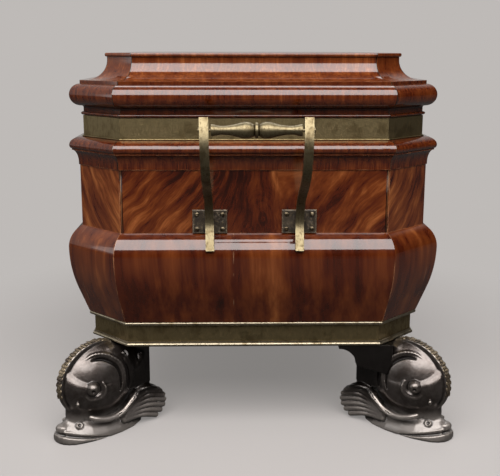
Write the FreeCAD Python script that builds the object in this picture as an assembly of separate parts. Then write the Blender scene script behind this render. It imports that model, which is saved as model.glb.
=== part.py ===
import FreeCAD, Part
import math
import os

# Octagonal cellarette on dolphin feet, millimetres.
# Origin: on the ground under the middle of the case. +Z up, +Y along the case.
# The lock is on the front (-X), the hinges on the back (+X), and a carrying handle on each end
# (-Y right, +Y left).
# Most of the case is made of eight mitred lengths round a rectangle with canted corners. A section is drawn
# with x as the distance out from the face of the frieze and z as the height above the ground.

V = FreeCAD.Vector
UP = V(0, 0, 1)

# ---- driving dimensions: plan ----
FRIEZE_WIDTH = 520.0          # across the case, face to face
FRIEZE_LENGTH = 700.0         # along the case, face to face
CANT_LEG = 66.0               # what each canted corner takes off the two faces
PANEL_THICKNESS = 28.0        # frieze face to the inside of the case

# ---- heights, from the ground up ----
FOOT_HEIGHT = 135.0
BASE_FRAME_HEIGHT = 18.0
BASE_BOARD_THICKNESS = 22.0
BULGE_STRAIGHT_RISE = 38.6    # straight lower part of the bulging panels
BULGE_CURVE_RISE = 64.4       # from there to the widest level
FRIEZE_HEIGHT = 92.5
RIM_MOULDING_HEIGHT = 41.4
RIM_FOOT_HEIGHT = 3.0
RIM_CAVETTO_HEIGHT = 19.0
RIM_FILLET_HEIGHT = 2.5
OVOLO_NOSE_RISE = 5.0         # from the fillet to the fullest part of the ovolo
BAND_HEIGHT = 31.6            # brass band between the rim moulding and the lid
LID_GAP = 0.6                 # shadow line between the case and the lid
ASTRAGAL_HEIGHT = 13.4
TORUS_RADIUS = 16.0
LID_FILLET_HEIGHT = 5.0
LID_CAVETTO_HEIGHT = 33.5
LID_NECK_STRAIGHT = 4.5       # upright top of the lid's cavetto
LID_CORE_THICKNESS = 12.5     # part of the top panel that is let in between the cavetto lengths
LID_TOP_THICKNESS = 5.5
LID_TOP_ROUNDING = 2.2

# ---- how far each part stands out from the face of the frieze ----
BASE_EDGE = -14.1
BASE_BEAD_NOSE = -8.5
BASE_STEP_NOSE = -11.0
BASE_TOP_BEAD_NOSE = -5.0
BASE_TOP_BEAD_QUIRK = 0.4
BULGE_FOOT = -5.0
BULGE_SHOULDER = 9.4          # where the straight lower part ends
BULGE_WIDEST = 20.8
BULGE_SHOULDER_RADIUS = 37.5
OVOLO_NOSE = 14.0
OVOLO_TOP = -4.0
RIM_FILLET_NOSE = 10.5
RIM_FOOT_NOSE = 1.5
RIM_BACK = -16.0              # back of the rim moulding
BAND_FACE = -7.0
ASTRAGAL_NOSE = -4.3
COVE_DEPTH = -8.0
TORUS_CENTRE = -4.7
LID_FILLET_FACE = -4.0
LID_INSIDE = -30.0
CAVETTO_FOOT = -12.0
CAVETTO_HEAD = -43.0
CAVETTO_INSIDE = -56.0
LID_TOP_EDGE = -40.0
BASE_FRAME_WIDTH = 60.0

# ---- thin pieces ----
BRASS_THICKNESS = 1.6
BAND_BEAD_HEIGHT = 2.2        # small bead at the foot of the upper band
BAND_TOP_DROP = 0.5
ASTRAGAL_BEAD_RADIUS = 2.0
ASTRAGAL_LIP = 0.4
COVE_ROUNDING = 3.0
BASE_BAND_HEIGHT = 25.5
BASE_BEAD_HEIGHT = 5.5
BASE_STEP_HEIGHT = 2.4
LINING_THICKNESS = 2.5
LINING_TOP_DROP = 34.0        # lead stops this far under the rim
DIVIDER_THICKNESS = 8.0
DIVIDER_HEIGHT = 150.0
DIVIDER_PLAY = 1.0            # between a divider's end and the lead
SLOT_PLAY = 0.3               # each side of a divider in its halving
ACROSS_CELL_COUNT = 4
ALONG_CELL_COUNT = 5

# ---- lid hinges ----
HINGE_LENGTH = 62.0
HINGE_SPACING = 380.0         # between the middles of the two hinges
HINGE_AXIS_OUT = -2.0         # axis, out from the face of the frieze
KNUCKLE_RADIUS = 3.2
KNUCKLE_COUNT = 5
KNUCKLE_PLAY = 0.3
HINGE_PIN_RADIUS = 1.6
PIN_PLAY = 0.05
LEAF_THICKNESS = 1.8
LEAF_WIDTH = 20.0
LEAF_SCREWS = 3
LEAF_SCREW_RADIUS = 1.5
LEAF_SCREW_HEAD = 2.8
LEAF_SCREW_LENGTH = 11.0

# ---- lock ----
LOCK_LENGTH = 74.0
LOCK_DEPTH = 12.0
LOCK_WALL = 1.5
FACE_PLATE_LENGTH = 94.0
FACE_PLATE_WIDTH = 15.0
PLATE_THICKNESS = 1.5
KEY_DROP = 22.0               # key axis under the joint of the lid
KEY_SHAFT_RADIUS = 2.4
KEY_HOLE_RADIUS = 3.0
KEY_BIT_REACH = 5.4
KEY_BIT_WIDTH = 2.6
KEY_BIT_DEPTH = 5.0
KEY_REACH_IN = 7.0            # key's nose past the front of the lock case
KEY_STEM_OUT = 24.0           # from the band to the middle of the bow
KEY_BOW_RADIUS = 11.0
KEY_BOW_WIRE = 2.2
KEY_COLLAR_RISE = 1.2
KEY_COLLAR_LENGTH = 3.0
KEY_BITE = 0.5                # how far the bit reaches into the bolt
LOCK_FOOT_DROP = 0.5          # bottom of the lock case under the rim's ledge
TALON_DEPTH = 1.2
BOLT_TRAVEL = 8.0
BOLT_THICKNESS = 5.0
BOLT_BAR_HEIGHT = 3.4
BOLT_FINGER_HEIGHT = 3.6
BOLT_FINGER_LENGTH = 10.0
BOLT_ARM = 3.0
STAPLE_SPACING = 36.0
STAPLE_LENGTH = 4.0
STAPLE_WIDTH = 8.0
STAPLE_WALL = 1.6
LOCK_PLAY = 0.6
ESCUTCHEON_RADIUS = 7.2
ESCUTCHEON_THICKNESS = 1.2

# ---- carrying handles ----
STRAP_WIDTH = 12.0
STRAP_THICKNESS = 5.0
STRAP_SPLAY = 1.4             # degrees outwards
STRAP_HALF_SPACING = 64.6     # middle of the case to the middle of a strap, at its plate
STRAP_REACH = 108.0           # how far the grip stands out from the frieze
STRAP_TAIL_GAP = 1.0          # between the strap's tail and the bulge
STRAP_TAIL_RISE = 12.0        # tail over the bulge's widest level
STRAP_SHOULDER_TUCK = 8.5     # inwards from the bulge's widest face, over the bulge's shoulder
STRAP_SHOULDER_DROP = 6.5     # under the top of the bulge
STRAP_PLATE_RISE = 16.0       # over the top of the bulge, where the strap lies on its plate
STRAP_THROAT_OUT = 6.5        # out from the plate, where the strap starts to leave it
STRAP_THROAT_RISE = 41.0
STRAP_MIDDLE_RISE = 72.0      # here the strap is half way out
STRAP_UPPER_TUCK = 9.0        # the next four are inwards from the reach, or up and down from there
STRAP_UPPER_RISE = 107.0
STRAP_FULLEST_DROP = 20.0
STRAP_ROD_TUCK = 4.5
STRAP_END_TUCK = 12.0
STRAP_END_RISE = 15.0
GRIP_HALF_LENGTH = 59.0
GRIP_DROP = 7.0               # grip axis under the lid joint
GRIP_END_RADIUS = 8.0
GRIP_WAIST_RADIUS = 6.2
GRIP_SWELL_RADIUS = 11.0
GRIP_BEAD_RADIUS = 10.0
GRIP_GROOVE_RADIUS = 7.0
GRIP_BEAD_HALF_WIDTH = 1.6
GRIP_GROOVE_PLACE = 2.6       # places along the grip, from its middle
GRIP_RISE_PLACE = 5.5
GRIP_SWELL_PLACE = 14.0
GRIP_FALL_PLACE = 24.0
GRIP_WAIST_PLACE = 37.0
GRIP_COLLAR_LENGTH = 4.0
GRIP_COLLAR_STEP = 0.6
GRIP_FULLNESS = 2.1           # how much less than the swell the grip is at its rise and fall
GRIP_ROD_RADIUS = 1.75
GRIP_ROD_PLAY = 0.08
ROD_HEAD_RADIUS = 3.4
ROD_HEAD_HEIGHT = 1.4
ROD_HEAD_GAP = 0.2            # between a strap and the rod's head
BACKPLATE_WIDTH = 50.0
BACKPLATE_HEIGHT = 34.5
BACKPLATE_THICKNESS = 3.0
BACKPLATE_RISE = 0.5          # over the top of the bulge
BACKPLATE_BEVEL = 1.0
PLATE_SCREW_RADIUS = 1.8
PLATE_SCREW_HEAD = 3.4
PLATE_SCREW_HEAD_HEIGHT = 1.6
PLATE_SCREW_HEAD_ROUNDING = 1.3
PLATE_SCREW_LENGTH = 20.0
PLATE_SCREW_INSET = 6.5

# ---- dolphin feet (x outwards along the corner, y across, z up) ----
NECK_BACK = -54.0
NECK_FRONT = 22.0
NECK_HALF_WIDTH = 33.0
NECK_FOOT = 58.0
NECK_ROUNDING = 8.0
HEAD_CENTRE = (27.0, 82.0)    # outwards, up
HEAD_RADII = (66.0, 38.0, 58.0)
CREST_HALF_WIDTH = 6.5
CREST_RISE = 3.0
HEAD_GAP = 2.0                # between the base and the part of the head that rises in front of it
BEAK_REACH = 102.0
BEAK_TOP = 37.0
BEAK_HALF_WIDTH = 37.0
BEAK_BACK = -6.0
BEAK_TIP_SHARE = 0.36         # of the beak's length that is rounded in plan
BEAK_FLANK_SHARE = 0.94
JAW_INSET = 3.0
MOUTH_CORNER = 45.0           # how far the mouth opens back from the tip
JAW_SETBACK = 7.0
JAW_TOP = 9.0
MOUTH_GAP = 2.0
THROAT_SHARE = 0.7            # of the beak's width
EYE_PLACE = (53.0, 33.5, 79.0)
EYE_RADIUS = 8.5
EYE_RING_RADIUS = 12.0
EYE_RING_WIRE = 3.0
EYE_TILT = 0.35               # how far the eyes look forward
FIN_FRONT = (18.0, 8.0)       # points of the fin: outwards, up
FIN_HEEL = (-20.0, 2.0)
FIN_BELLY = (-56.0, 10.0)
FIN_TIP = (-68.0, 32.0)
FIN_UPPER_TIP = (-62.0, 48.0)
FIN_HOLLOW = (-25.0, 42.0)
FIN_ROOT = (14.0, 58.0)
FIN_INNER = 27.0
FIN_OUTER = 41.0
EAR_REACH = 92.0              # ear: along the end of the case, from the middle of the foot's corner
EAR_ROOT = 10.0
EAR_LIP = 6.0
EAR_COVE_RADIUS = 27.0
EAR_DROP = 50.0
EAR_SETBACK = 3.5             # behind the nose of the base's lower bead
EAR_THICKNESS = 16.0
FOOT_SCREW_RADIUS = 3.0
FOOT_SCREW_HEAD = 5.5
FOOT_SCREW_GRIP = 40.0
FOOT_SCREW_PLACES = (-22.0, -44.0)

# ---- for the tools that cut and trim ----
CUT_MARGIN = 1.0              # how far a cutting tool passes the face that it cuts
FOOT_SPAN = 200.0             # more than a foot measures any way

# ---- levels and offsets that follow from them ----
BASE_BOARD_TOP = FOOT_HEIGHT + BASE_FRAME_HEIGHT + BASE_BOARD_THICKNESS
BULGE_SHOULDER_LEVEL = BASE_BOARD_TOP + BULGE_STRAIGHT_RISE
BULGE_WIDEST_LEVEL = BULGE_SHOULDER_LEVEL + BULGE_CURVE_RISE
BULGE_TOP = BULGE_WIDEST_LEVEL + math.sqrt(BULGE_SHOULDER_RADIUS ** 2
                                           - (BULGE_SHOULDER_RADIUS - BULGE_WIDEST) ** 2)
FRIEZE_TOP = BULGE_TOP + FRIEZE_HEIGHT
RIM_LEDGE = FRIEZE_TOP + RIM_MOULDING_HEIGHT
RIM_TOP = RIM_LEDGE + BAND_HEIGHT
LID_FOOT = RIM_TOP + LID_GAP
TORUS_FOOT = LID_FOOT + ASTRAGAL_HEIGHT
TORUS_TOP = TORUS_FOOT + 2 * TORUS_RADIUS
LID_LEDGE = TORUS_TOP + LID_FILLET_HEIGHT
LID_NECK_TOP = LID_LEDGE + LID_CAVETTO_HEIGHT
LID_TOP = LID_NECK_TOP + LID_TOP_THICKNESS
CASE_INSIDE = -PANEL_THICKNESS
LINING_INSIDE = CASE_INSIDE - LINING_THICKNESS
LINING_FLOOR = BASE_BOARD_TOP + LINING_THICKNESS
LINING_TOP = RIM_TOP - LINING_TOP_DROP
BAND_BACK = BAND_FACE - BRASS_THICKNESS
KEY_LEVEL = RIM_TOP - KEY_DROP
GRIP_LEVEL = RIM_TOP - GRIP_DROP

SIDE_ANGLES = [-90 + 45 * k for k in range(8)]
SIDE_NAMES = ["right_end", "back_right", "back", "back_left",
              "left_end", "front_left", "front", "front_right"]
FLAT_SIDES = ["right_end", "back", "left_end", "front"]
CORNERS = ["back_right", "back_left", "front_left", "front_right"]
EAR_HANDS = {"back_right": -1, "back_left": 1, "front_left": -1, "front_right": 0}


# ---- plan helpers ----
def octagon(offset):
    """The eight plan corners at a distance out from the face of the frieze."""
    corner_shift = offset * math.tan(math.radians(22.5))
    half_width = FRIEZE_WIDTH / 2 + offset
    half_length = FRIEZE_LENGTH / 2 + offset
    a = FRIEZE_WIDTH / 2 - CANT_LEG + corner_shift
    b = FRIEZE_LENGTH / 2 - CANT_LEG + corner_shift
    return [(-a, -half_length), (a, -half_length), (half_width, -b), (half_width, b),
            (a, half_length), (-a, half_length), (-half_width, b), (-half_width, -b)]


def octagon_prism(offset, low, high):
    points = [V(x, y, low) for x, y in octagon(offset)]
    face = Part.Face(Part.makePolygon(points + points[:1]))
    return face.extrude(UP * (high - low))


def side_distance(side):
    """From the middle of the case to the face of the frieze on this side."""
    angle = math.radians(SIDE_ANGLES[side])
    x, y = octagon(0.0)[side]
    return x * math.cos(angle) + y * math.sin(angle)


def on_side(shape, side):
    """Turns a shape drawn with +X outwards, and x = 0 in the frieze face, on to its side."""
    placed = shape.copy()
    placed.translate(V(side_distance(side), 0, 0))
    placed.rotate(V(0, 0, 0), UP, SIDE_ANGLES[side])
    return placed


def section(start, *steps):
    """A closed section. A step is a point, a pair of points (through and end of an arc), or an edge."""
    edges = []
    here = V(start[0], 0, start[1])
    for step in steps + (start,):
        if isinstance(step, Part.Edge):
            edges.append(step)
            here = max((vertex.Point for vertex in step.Vertexes), key=here.distanceToPoint)
            continue
        if isinstance(step[0], tuple):
            through, end = (V(p[0], 0, p[1]) for p in step)
            edges.append(Part.Arc(here, through, end).toShape())
        else:
            end = V(step[0], 0, step[1])
            edges.append(Part.LineSegment(here, end).toShape())
        here = end
    return Part.Face(Part.Wire(edges))


def quarter_ellipse(centre, outwards, upwards):
    """An edge of a section, between centre + outwards along X and centre + upwards along Z."""
    middle = V(centre[0], 0, centre[1])
    level_end = middle + V(outwards, 0, 0)
    upright_end = middle + V(0, 0, upwards)
    far, near = level_end, upright_end
    if abs(upwards) > abs(outwards):
        far, near = near, far
    return Part.ArcOfEllipse(Part.Ellipse(far, near, middle), 0, math.pi / 2).toShape()


def mitred_length(face, side):
    """One length of a section along one side, mitred at both ends."""
    reach = FRIEZE_LENGTH
    box = face.BoundBox
    bar = face.copy()
    bar.translate(V(0, -reach, 0))
    bar = on_side(bar.extrude(V(0, 2 * reach, 0)), side)
    inner, outer = octagon(box.XMin - CUT_MARGIN), octagon(box.XMax + CUT_MARGIN)
    after = (side + 1) % 8
    plan = [inner[side], outer[side], outer[after], inner[after]]
    points = [V(x, y, box.ZMin - CUT_MARGIN) for x, y in plan]
    wedge = Part.Face(Part.makePolygon(points + points[:1])).extrude(UP * (box.ZLength + 2 * CUT_MARGIN))
    return bar.common(wedge).Solids[0]


def mitred_lengths(face):
    return [mitred_length(face, side) for side in range(8)]


def box_between(low, high):
    size = [high[k] - low[k] for k in range(3)]
    return Part.makeBox(size[0], size[1], size[2], V(*low))


def cut_each(solids, tool):
    return [solid.cut(tool).Solids[0] if tool.distToShape(solid)[0] < 1e-6 else solid for solid in solids]


def upright_edges(shape):
    return [edge for edge in shape.Edges if abs(edge.tangentAt(edge.FirstParameter).z) > 0.5]


# ---- sections of the case ----
def base_frame_section():
    inside = BASE_EDGE - BASE_FRAME_WIDTH
    top = FOOT_HEIGHT + BASE_FRAME_HEIGHT
    return section((inside, FOOT_HEIGHT), (BASE_EDGE, FOOT_HEIGHT), (BASE_EDGE, top), (inside, top))


def base_lower_bead_section():
    middle = FOOT_HEIGHT + BASE_BEAD_HEIGHT / 2
    bead_top = FOOT_HEIGHT + BASE_BEAD_HEIGHT
    step_top = bead_top + BASE_STEP_HEIGHT
    shoulder = BASE_BEAD_NOSE - BASE_BEAD_HEIGHT / 2
    return section((BASE_EDGE, FOOT_HEIGHT), (shoulder, FOOT_HEIGHT),
                   ((BASE_BEAD_NOSE, middle), (shoulder, bead_top)),
                   (BASE_STEP_NOSE, bead_top), (BASE_STEP_NOSE, step_top), (BASE_EDGE, step_top))


def base_band_section():
    low = FOOT_HEIGHT + BASE_BEAD_HEIGHT + BASE_STEP_HEIGHT
    high = low + BASE_BAND_HEIGHT
    face = BASE_EDGE + BRASS_THICKNESS
    return section((BASE_EDGE, low), (face, low), (face, high), (BASE_EDGE, high))


def base_upper_bead_section():
    """A half-round bead over a small upright quirk."""
    low = FOOT_HEIGHT + BASE_BEAD_HEIGHT + BASE_STEP_HEIGHT + BASE_BAND_HEIGHT
    quirk_top = low + BASE_TOP_BEAD_QUIRK
    radius = (BASE_BOARD_TOP - quirk_top) / 2
    shoulder = BASE_TOP_BEAD_NOSE - radius
    return section((BASE_EDGE, low), (shoulder, low), (shoulder, quirk_top),
                   ((BASE_TOP_BEAD_NOSE, quirk_top + radius), (shoulder, BASE_BOARD_TOP)),
                   (BASE_EDGE, BASE_BOARD_TOP))


def bulge_section():
    """Straight foot, long curve to the widest level, then a tight shoulder back to the frieze."""
    swell = BULGE_WIDEST - BULGE_SHOULDER
    lower_radius = BULGE_CURVE_RISE ** 2 / (2 * swell) + swell / 2
    half = math.asin(BULGE_CURVE_RISE / lower_radius) / 2
    lower_middle = (BULGE_WIDEST - lower_radius * (1 - math.cos(half)),
                    BULGE_WIDEST_LEVEL - lower_radius * math.sin(half))
    upper_centre = BULGE_WIDEST - BULGE_SHOULDER_RADIUS
    turn = math.acos(-upper_centre / BULGE_SHOULDER_RADIUS) / 2
    upper_middle = (upper_centre + BULGE_SHOULDER_RADIUS * math.cos(turn),
                    BULGE_WIDEST_LEVEL + BULGE_SHOULDER_RADIUS * math.sin(turn))
    return section((CASE_INSIDE, BASE_BOARD_TOP), (BULGE_FOOT, BASE_BOARD_TOP),
                   (BULGE_SHOULDER, BULGE_SHOULDER_LEVEL),
                   (lower_middle, (BULGE_WIDEST, BULGE_WIDEST_LEVEL)),
                   (upper_middle, (0.0, BULGE_TOP)), (CASE_INSIDE, BULGE_TOP))


def frieze_section():
    return section((CASE_INSIDE, BULGE_TOP), (0.0, BULGE_TOP), (0.0, FRIEZE_TOP), (CASE_INSIDE, FRIEZE_TOP))


def rim_moulding_section():
    """Foot fillet, cavetto, fillet and ovolo under the brass band."""
    foot_top = FRIEZE_TOP + RIM_FOOT_HEIGHT
    fillet_top = foot_top + RIM_CAVETTO_HEIGHT + RIM_FILLET_HEIGHT
    nose = fillet_top + OVOLO_NOSE_RISE
    cavetto = quarter_ellipse((RIM_FILLET_NOSE, foot_top), RIM_FOOT_NOSE - RIM_FILLET_NOSE, RIM_CAVETTO_HEIGHT)
    under_nose = quarter_ellipse((RIM_FILLET_NOSE, nose), OVOLO_NOSE - RIM_FILLET_NOSE, -OVOLO_NOSE_RISE)
    over_nose = quarter_ellipse((OVOLO_TOP, nose), OVOLO_NOSE - OVOLO_TOP, RIM_LEDGE - nose)
    return section((RIM_BACK, FRIEZE_TOP), (RIM_FOOT_NOSE, FRIEZE_TOP), (RIM_FOOT_NOSE, foot_top), cavetto,
                   (RIM_FILLET_NOSE, fillet_top), under_nose, over_nose, (RIM_BACK, RIM_LEDGE))


def rim_frame_section():
    return section((CASE_INSIDE, FRIEZE_TOP), (RIM_BACK, FRIEZE_TOP), (RIM_BACK, RIM_LEDGE),
                   (BAND_BACK, RIM_LEDGE), (BAND_BACK, RIM_TOP), (CASE_INSIDE, RIM_TOP))


def upper_band_section():
    """Flat brass strip with a small bead at its foot, just under the joint of the lid."""
    bead_top = RIM_LEDGE + BAND_BEAD_HEIGHT
    shoulder = BAND_FACE + BAND_BEAD_HEIGHT / 2
    top = RIM_TOP - BAND_TOP_DROP
    return section((BAND_BACK, RIM_LEDGE), (shoulder, RIM_LEDGE),
                   ((BAND_FACE + BAND_BEAD_HEIGHT, RIM_LEDGE + BAND_BEAD_HEIGHT / 2), (shoulder, bead_top)),
                   (BAND_FACE, bead_top), (BAND_FACE, top), (BAND_BACK, top))


# ---- sections of the lid ----
def astragal_section():
    """Underside of the lid: a lip, a bead, and a cove up to the torus."""
    bead_low = LID_FOOT + ASTRAGAL_LIP
    bead_top = bead_low + 2 * ASTRAGAL_BEAD_RADIUS
    shoulder = ASTRAGAL_NOSE - ASTRAGAL_BEAD_RADIUS
    turn = COVE_ROUNDING * math.sqrt(0.5)
    return section((LID_INSIDE, LID_FOOT), (shoulder, LID_FOOT), (shoulder, bead_low),
                   ((ASTRAGAL_NOSE, bead_low + ASTRAGAL_BEAD_RADIUS), (shoulder, bead_top)),
                   (COVE_DEPTH, bead_top), (COVE_DEPTH, TORUS_FOOT - COVE_ROUNDING),
                   ((COVE_DEPTH + COVE_ROUNDING - turn, TORUS_FOOT - COVE_ROUNDING + turn),
                    (COVE_DEPTH + COVE_ROUNDING, TORUS_FOOT)), (LID_INSIDE, TORUS_FOOT))


def torus_section():
    nose = (TORUS_CENTRE + TORUS_RADIUS, TORUS_FOOT + TORUS_RADIUS)
    return section((LID_INSIDE, TORUS_FOOT), (TORUS_CENTRE, TORUS_FOOT), (nose, (TORUS_CENTRE, TORUS_TOP)),
                   (LID_FILLET_FACE, TORUS_TOP), (LID_FILLET_FACE, LID_LEDGE), (LID_INSIDE, LID_LEDGE))


def lid_cavetto_section():
    neck = LID_NECK_TOP - LID_NECK_STRAIGHT
    core_foot = LID_NECK_TOP - LID_CORE_THICKNESS
    cavetto = quarter_ellipse((CAVETTO_FOOT, neck), CAVETTO_HEAD - CAVETTO_FOOT, LID_LEDGE - neck)
    return section((LID_INSIDE, LID_LEDGE), (CAVETTO_FOOT, LID_LEDGE), cavetto,
                   (CAVETTO_HEAD, LID_NECK_TOP), (CAVETTO_INSIDE, LID_NECK_TOP), (CAVETTO_INSIDE, core_foot))


def lid_top_panel():
    """The flat top with its round edge, and the core that is let into the cavetto."""
    slab = octagon_prism(LID_TOP_EDGE, LID_NECK_TOP, LID_TOP)
    level_edges = [edge for edge in slab.Edges if abs(edge.tangentAt(edge.FirstParameter).z) < 0.5]
    slab = slab.makeFillet(LID_TOP_ROUNDING, level_edges)
    core = octagon_prism(CAVETTO_INSIDE, LID_NECK_TOP - LID_CORE_THICKNESS, LID_NECK_TOP)
    return slab.fuse(core).removeSplitter()


# ---- inside the case ----
def lead_lining():
    outer = octagon_prism(CASE_INSIDE, BASE_BOARD_TOP, LINING_TOP)
    return outer.cut(octagon_prism(LINING_INSIDE, LINING_FLOOR, LINING_TOP + CUT_MARGIN))


def divider_places(inside_length, cells):
    """Middles of the dividers that part a length into equal cells."""
    cell = (inside_length - (cells - 1) * DIVIDER_THICKNESS) / cells
    return [-inside_length / 2 + (k + 1) * cell + (k + 0.5) * DIVIDER_THICKNESS for k in range(cells - 1)]


def dividers():
    """Boards along and across the case, halved over each other."""
    width = FRIEZE_WIDTH + 2 * LINING_INSIDE
    length = FRIEZE_LENGTH + 2 * LINING_INSIDE
    along_at = divider_places(width, ACROSS_CELL_COUNT)
    across_at = divider_places(length, ALONG_CELL_COUNT)
    half = DIVIDER_THICKNESS / 2
    slot = half + SLOT_PLAY
    top = LINING_FLOOR + DIVIDER_HEIGHT
    middle = LINING_FLOOR + DIVIDER_HEIGHT / 2
    above = top + CUT_MARGIN
    below = LINING_FLOOR - CUT_MARGIN
    along_slots = [box_between((-width, y - slot, middle - SLOT_PLAY), (width, y + slot, above))
                   for y in across_at]
    across_slots = [box_between((x - slot, -length, below), (x + slot, length, middle + SLOT_PLAY))
                    for x in along_at]
    y_end = length / 2 - DIVIDER_PLAY
    x_end = width / 2 - DIVIDER_PLAY
    along = [box_between((x - half, -y_end, LINING_FLOOR), (x + half, y_end, top)).cut(along_slots)
             for x in along_at]
    across = [box_between((-x_end, y - half, LINING_FLOOR), (x_end, y + half, top)).cut(across_slots)
              for y in across_at]
    return along, across


# ---- lid hinges ----
def hinge_axis():
    """Plan distance from the middle, and height, of the lid's hinge axis."""
    return FRIEZE_WIDTH / 2 + HINGE_AXIS_OUT, RIM_TOP + LID_GAP / 2


def hinge_middles():
    return [-HINGE_SPACING / 2, HINGE_SPACING / 2]


def knuckles(middle, first):
    """Every second knuckle of a hinge, from the one numbered first."""
    x, z = hinge_axis()
    pitch = HINGE_LENGTH / KNUCKLE_COUNT
    start = middle - HINGE_LENGTH / 2
    parts = []
    for k in range(first, KNUCKLE_COUNT, 2):
        low = start + k * pitch + KNUCKLE_PLAY / 2
        parts.append((low, low + pitch - KNUCKLE_PLAY,
                      Part.makeCylinder(KNUCKLE_RADIUS, pitch - KNUCKLE_PLAY, V(x, low, z), V(0, 1, 0))))
    return parts


def hinge_leaf(middle, first, low, high, screw_up, hole_radius):
    """A leaf between two levels, with its knuckles, screw holes and the bore of its pin."""
    x, z = hinge_axis()
    plate_edge = x - KNUCKLE_RADIUS - KNUCKLE_PLAY
    inner = x - LEAF_WIDTH
    leaf = box_between((inner, middle - HINGE_LENGTH / 2, low), (plate_edge, middle + HINGE_LENGTH / 2, high))
    for start, end, barrel in knuckles(middle, first):
        leaf = leaf.fuse([barrel, box_between((plate_edge, start, low), (x, end, high))])
    bore = Part.makeCylinder(hole_radius, HINGE_LENGTH + 2 * CUT_MARGIN,
                             V(x, middle - HINGE_LENGTH / 2 - CUT_MARGIN, z), V(0, 1, 0))
    leaf = leaf.cut(bore)
    leaf = leaf.cut([leaf_screw(middle, k, low, high, screw_up) for k in range(LEAF_SCREWS)])
    return leaf.removeSplitter()


def leaf_screw(middle, number, low, high, screw_up):
    """A countersunk screw, its head flush with the open face of the leaf."""
    x = hinge_axis()[0] - LEAF_WIDTH / 2 - KNUCKLE_RADIUS / 2
    y = middle + (number - (LEAF_SCREWS - 1) / 2) * HINGE_LENGTH / LEAF_SCREWS
    head_level, way = (low, 1) if screw_up else (high, -1)
    countersink = LEAF_SCREW_HEAD - LEAF_SCREW_RADIUS
    head = Part.makeCone(LEAF_SCREW_HEAD, LEAF_SCREW_RADIUS, countersink, V(x, y, head_level), V(0, 0, way))
    shank = Part.makeCylinder(LEAF_SCREW_RADIUS, LEAF_SCREW_LENGTH, V(x, y, head_level), V(0, 0, way))
    return head.fuse(shank).removeSplitter()


def leaf_levels():
    """Low and high level of the case leaf and of the lid leaf."""
    return (RIM_TOP - LEAF_THICKNESS, RIM_TOP), (LID_FOOT, LID_FOOT + LEAF_THICKNESS)


def hinge_pockets():
    """What is cut away for the hinges: the leaves' recesses and room for the knuckles."""
    x, z = hinge_axis()
    (case_low, _), (_, lid_high) = leaf_levels()
    pockets = []
    for middle in hinge_middles():
        low_y, high_y = middle - HINGE_LENGTH / 2, middle + HINGE_LENGTH / 2
        room = KNUCKLE_RADIUS + 2 * KNUCKLE_PLAY
        pockets.append(box_between((x - LEAF_WIDTH, low_y, case_low), (x + room, high_y, lid_high)))
        pockets.append(Part.makeCylinder(room, HINGE_LENGTH + 4 * KNUCKLE_PLAY,
                                         V(x, low_y - 2 * KNUCKLE_PLAY, z), V(0, 1, 0)))
    return Part.makeCompound(pockets)


# ---- lock, at the middle of the front ----
def lock_box(out_low, out_high, y_low, y_high, z_low, z_high):
    """A box on the front, given by its distances out from the face of the frieze."""
    face = -FRIEZE_WIDTH / 2
    return box_between((face - out_high, y_low, z_low), (face - out_low, y_high, z_high))


def lock_case_back():
    return CASE_INSIDE, CASE_INSIDE + LOCK_DEPTH


def bolt_levels():
    """Bottom and top of the bolt's bar, and of its fingers."""
    bar_low = KEY_LEVEL + KEY_BIT_REACH - KEY_BITE
    bar_high = bar_low + BOLT_BAR_HEIGHT
    finger_low = bar_high + STAPLE_WALL + 2 * LOCK_PLAY
    return bar_low, bar_high, finger_low, finger_low + BOLT_FINGER_HEIGHT


def lock_case():
    back, front = lock_case_back()
    bottom = RIM_LEDGE - LOCK_FOOT_DROP
    top = RIM_TOP - PLATE_THICKNESS
    half = LOCK_LENGTH / 2
    shell = lock_box(back, front, -half, half, bottom, top)
    inner_half = half - LOCK_WALL
    room = lock_box(back + LOCK_WALL, front - LOCK_WALL, -inner_half, inner_half, bottom + LOCK_WALL, top)
    return shell.cut(room).cut(keyhole(front - LOCK_WALL - CUT_MARGIN, front + CUT_MARGIN))


def keyhole(out_low, out_high):
    """A round hole with a slot under it, along X."""
    face = -FRIEZE_WIDTH / 2
    half = KEY_BIT_WIDTH / 2 + LOCK_PLAY
    start = V(face - out_high, 0, KEY_LEVEL)
    hole = Part.makeCylinder(KEY_HOLE_RADIUS, out_high - out_low, start, V(1, 0, 0))
    slot = lock_box(out_low, out_high, -half, half, KEY_LEVEL - KEY_BIT_REACH - LOCK_PLAY, KEY_LEVEL)
    return hole.fuse(slot)


def face_plate_edges():
    back = CASE_INSIDE
    return back, back + FACE_PLATE_WIDTH


def staple_middles():
    return [-STAPLE_SPACING / 2, STAPLE_SPACING / 2]


def staple_edges():
    """The staples' thickness across the lock: its inner and outer edge."""
    back, front = lock_case_back()
    middle = (back + front) / 2
    return middle - STAPLE_WIDTH / 2, middle + STAPLE_WIDTH / 2


def lock_face_plate():
    back, front = face_plate_edges()
    half = FACE_PLATE_LENGTH / 2
    plate = lock_box(back, front, -half, half, RIM_TOP - PLATE_THICKNESS, RIM_TOP)
    low, high = staple_edges()
    slots = [lock_box(low - LOCK_PLAY, high + LOCK_PLAY, y - STAPLE_LENGTH / 2 - LOCK_PLAY,
                      y + STAPLE_LENGTH / 2 + LOCK_PLAY, RIM_TOP - 2 * PLATE_THICKNESS, RIM_TOP + CUT_MARGIN)
             for y in staple_middles()]
    return plate.cut(slots)


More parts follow.
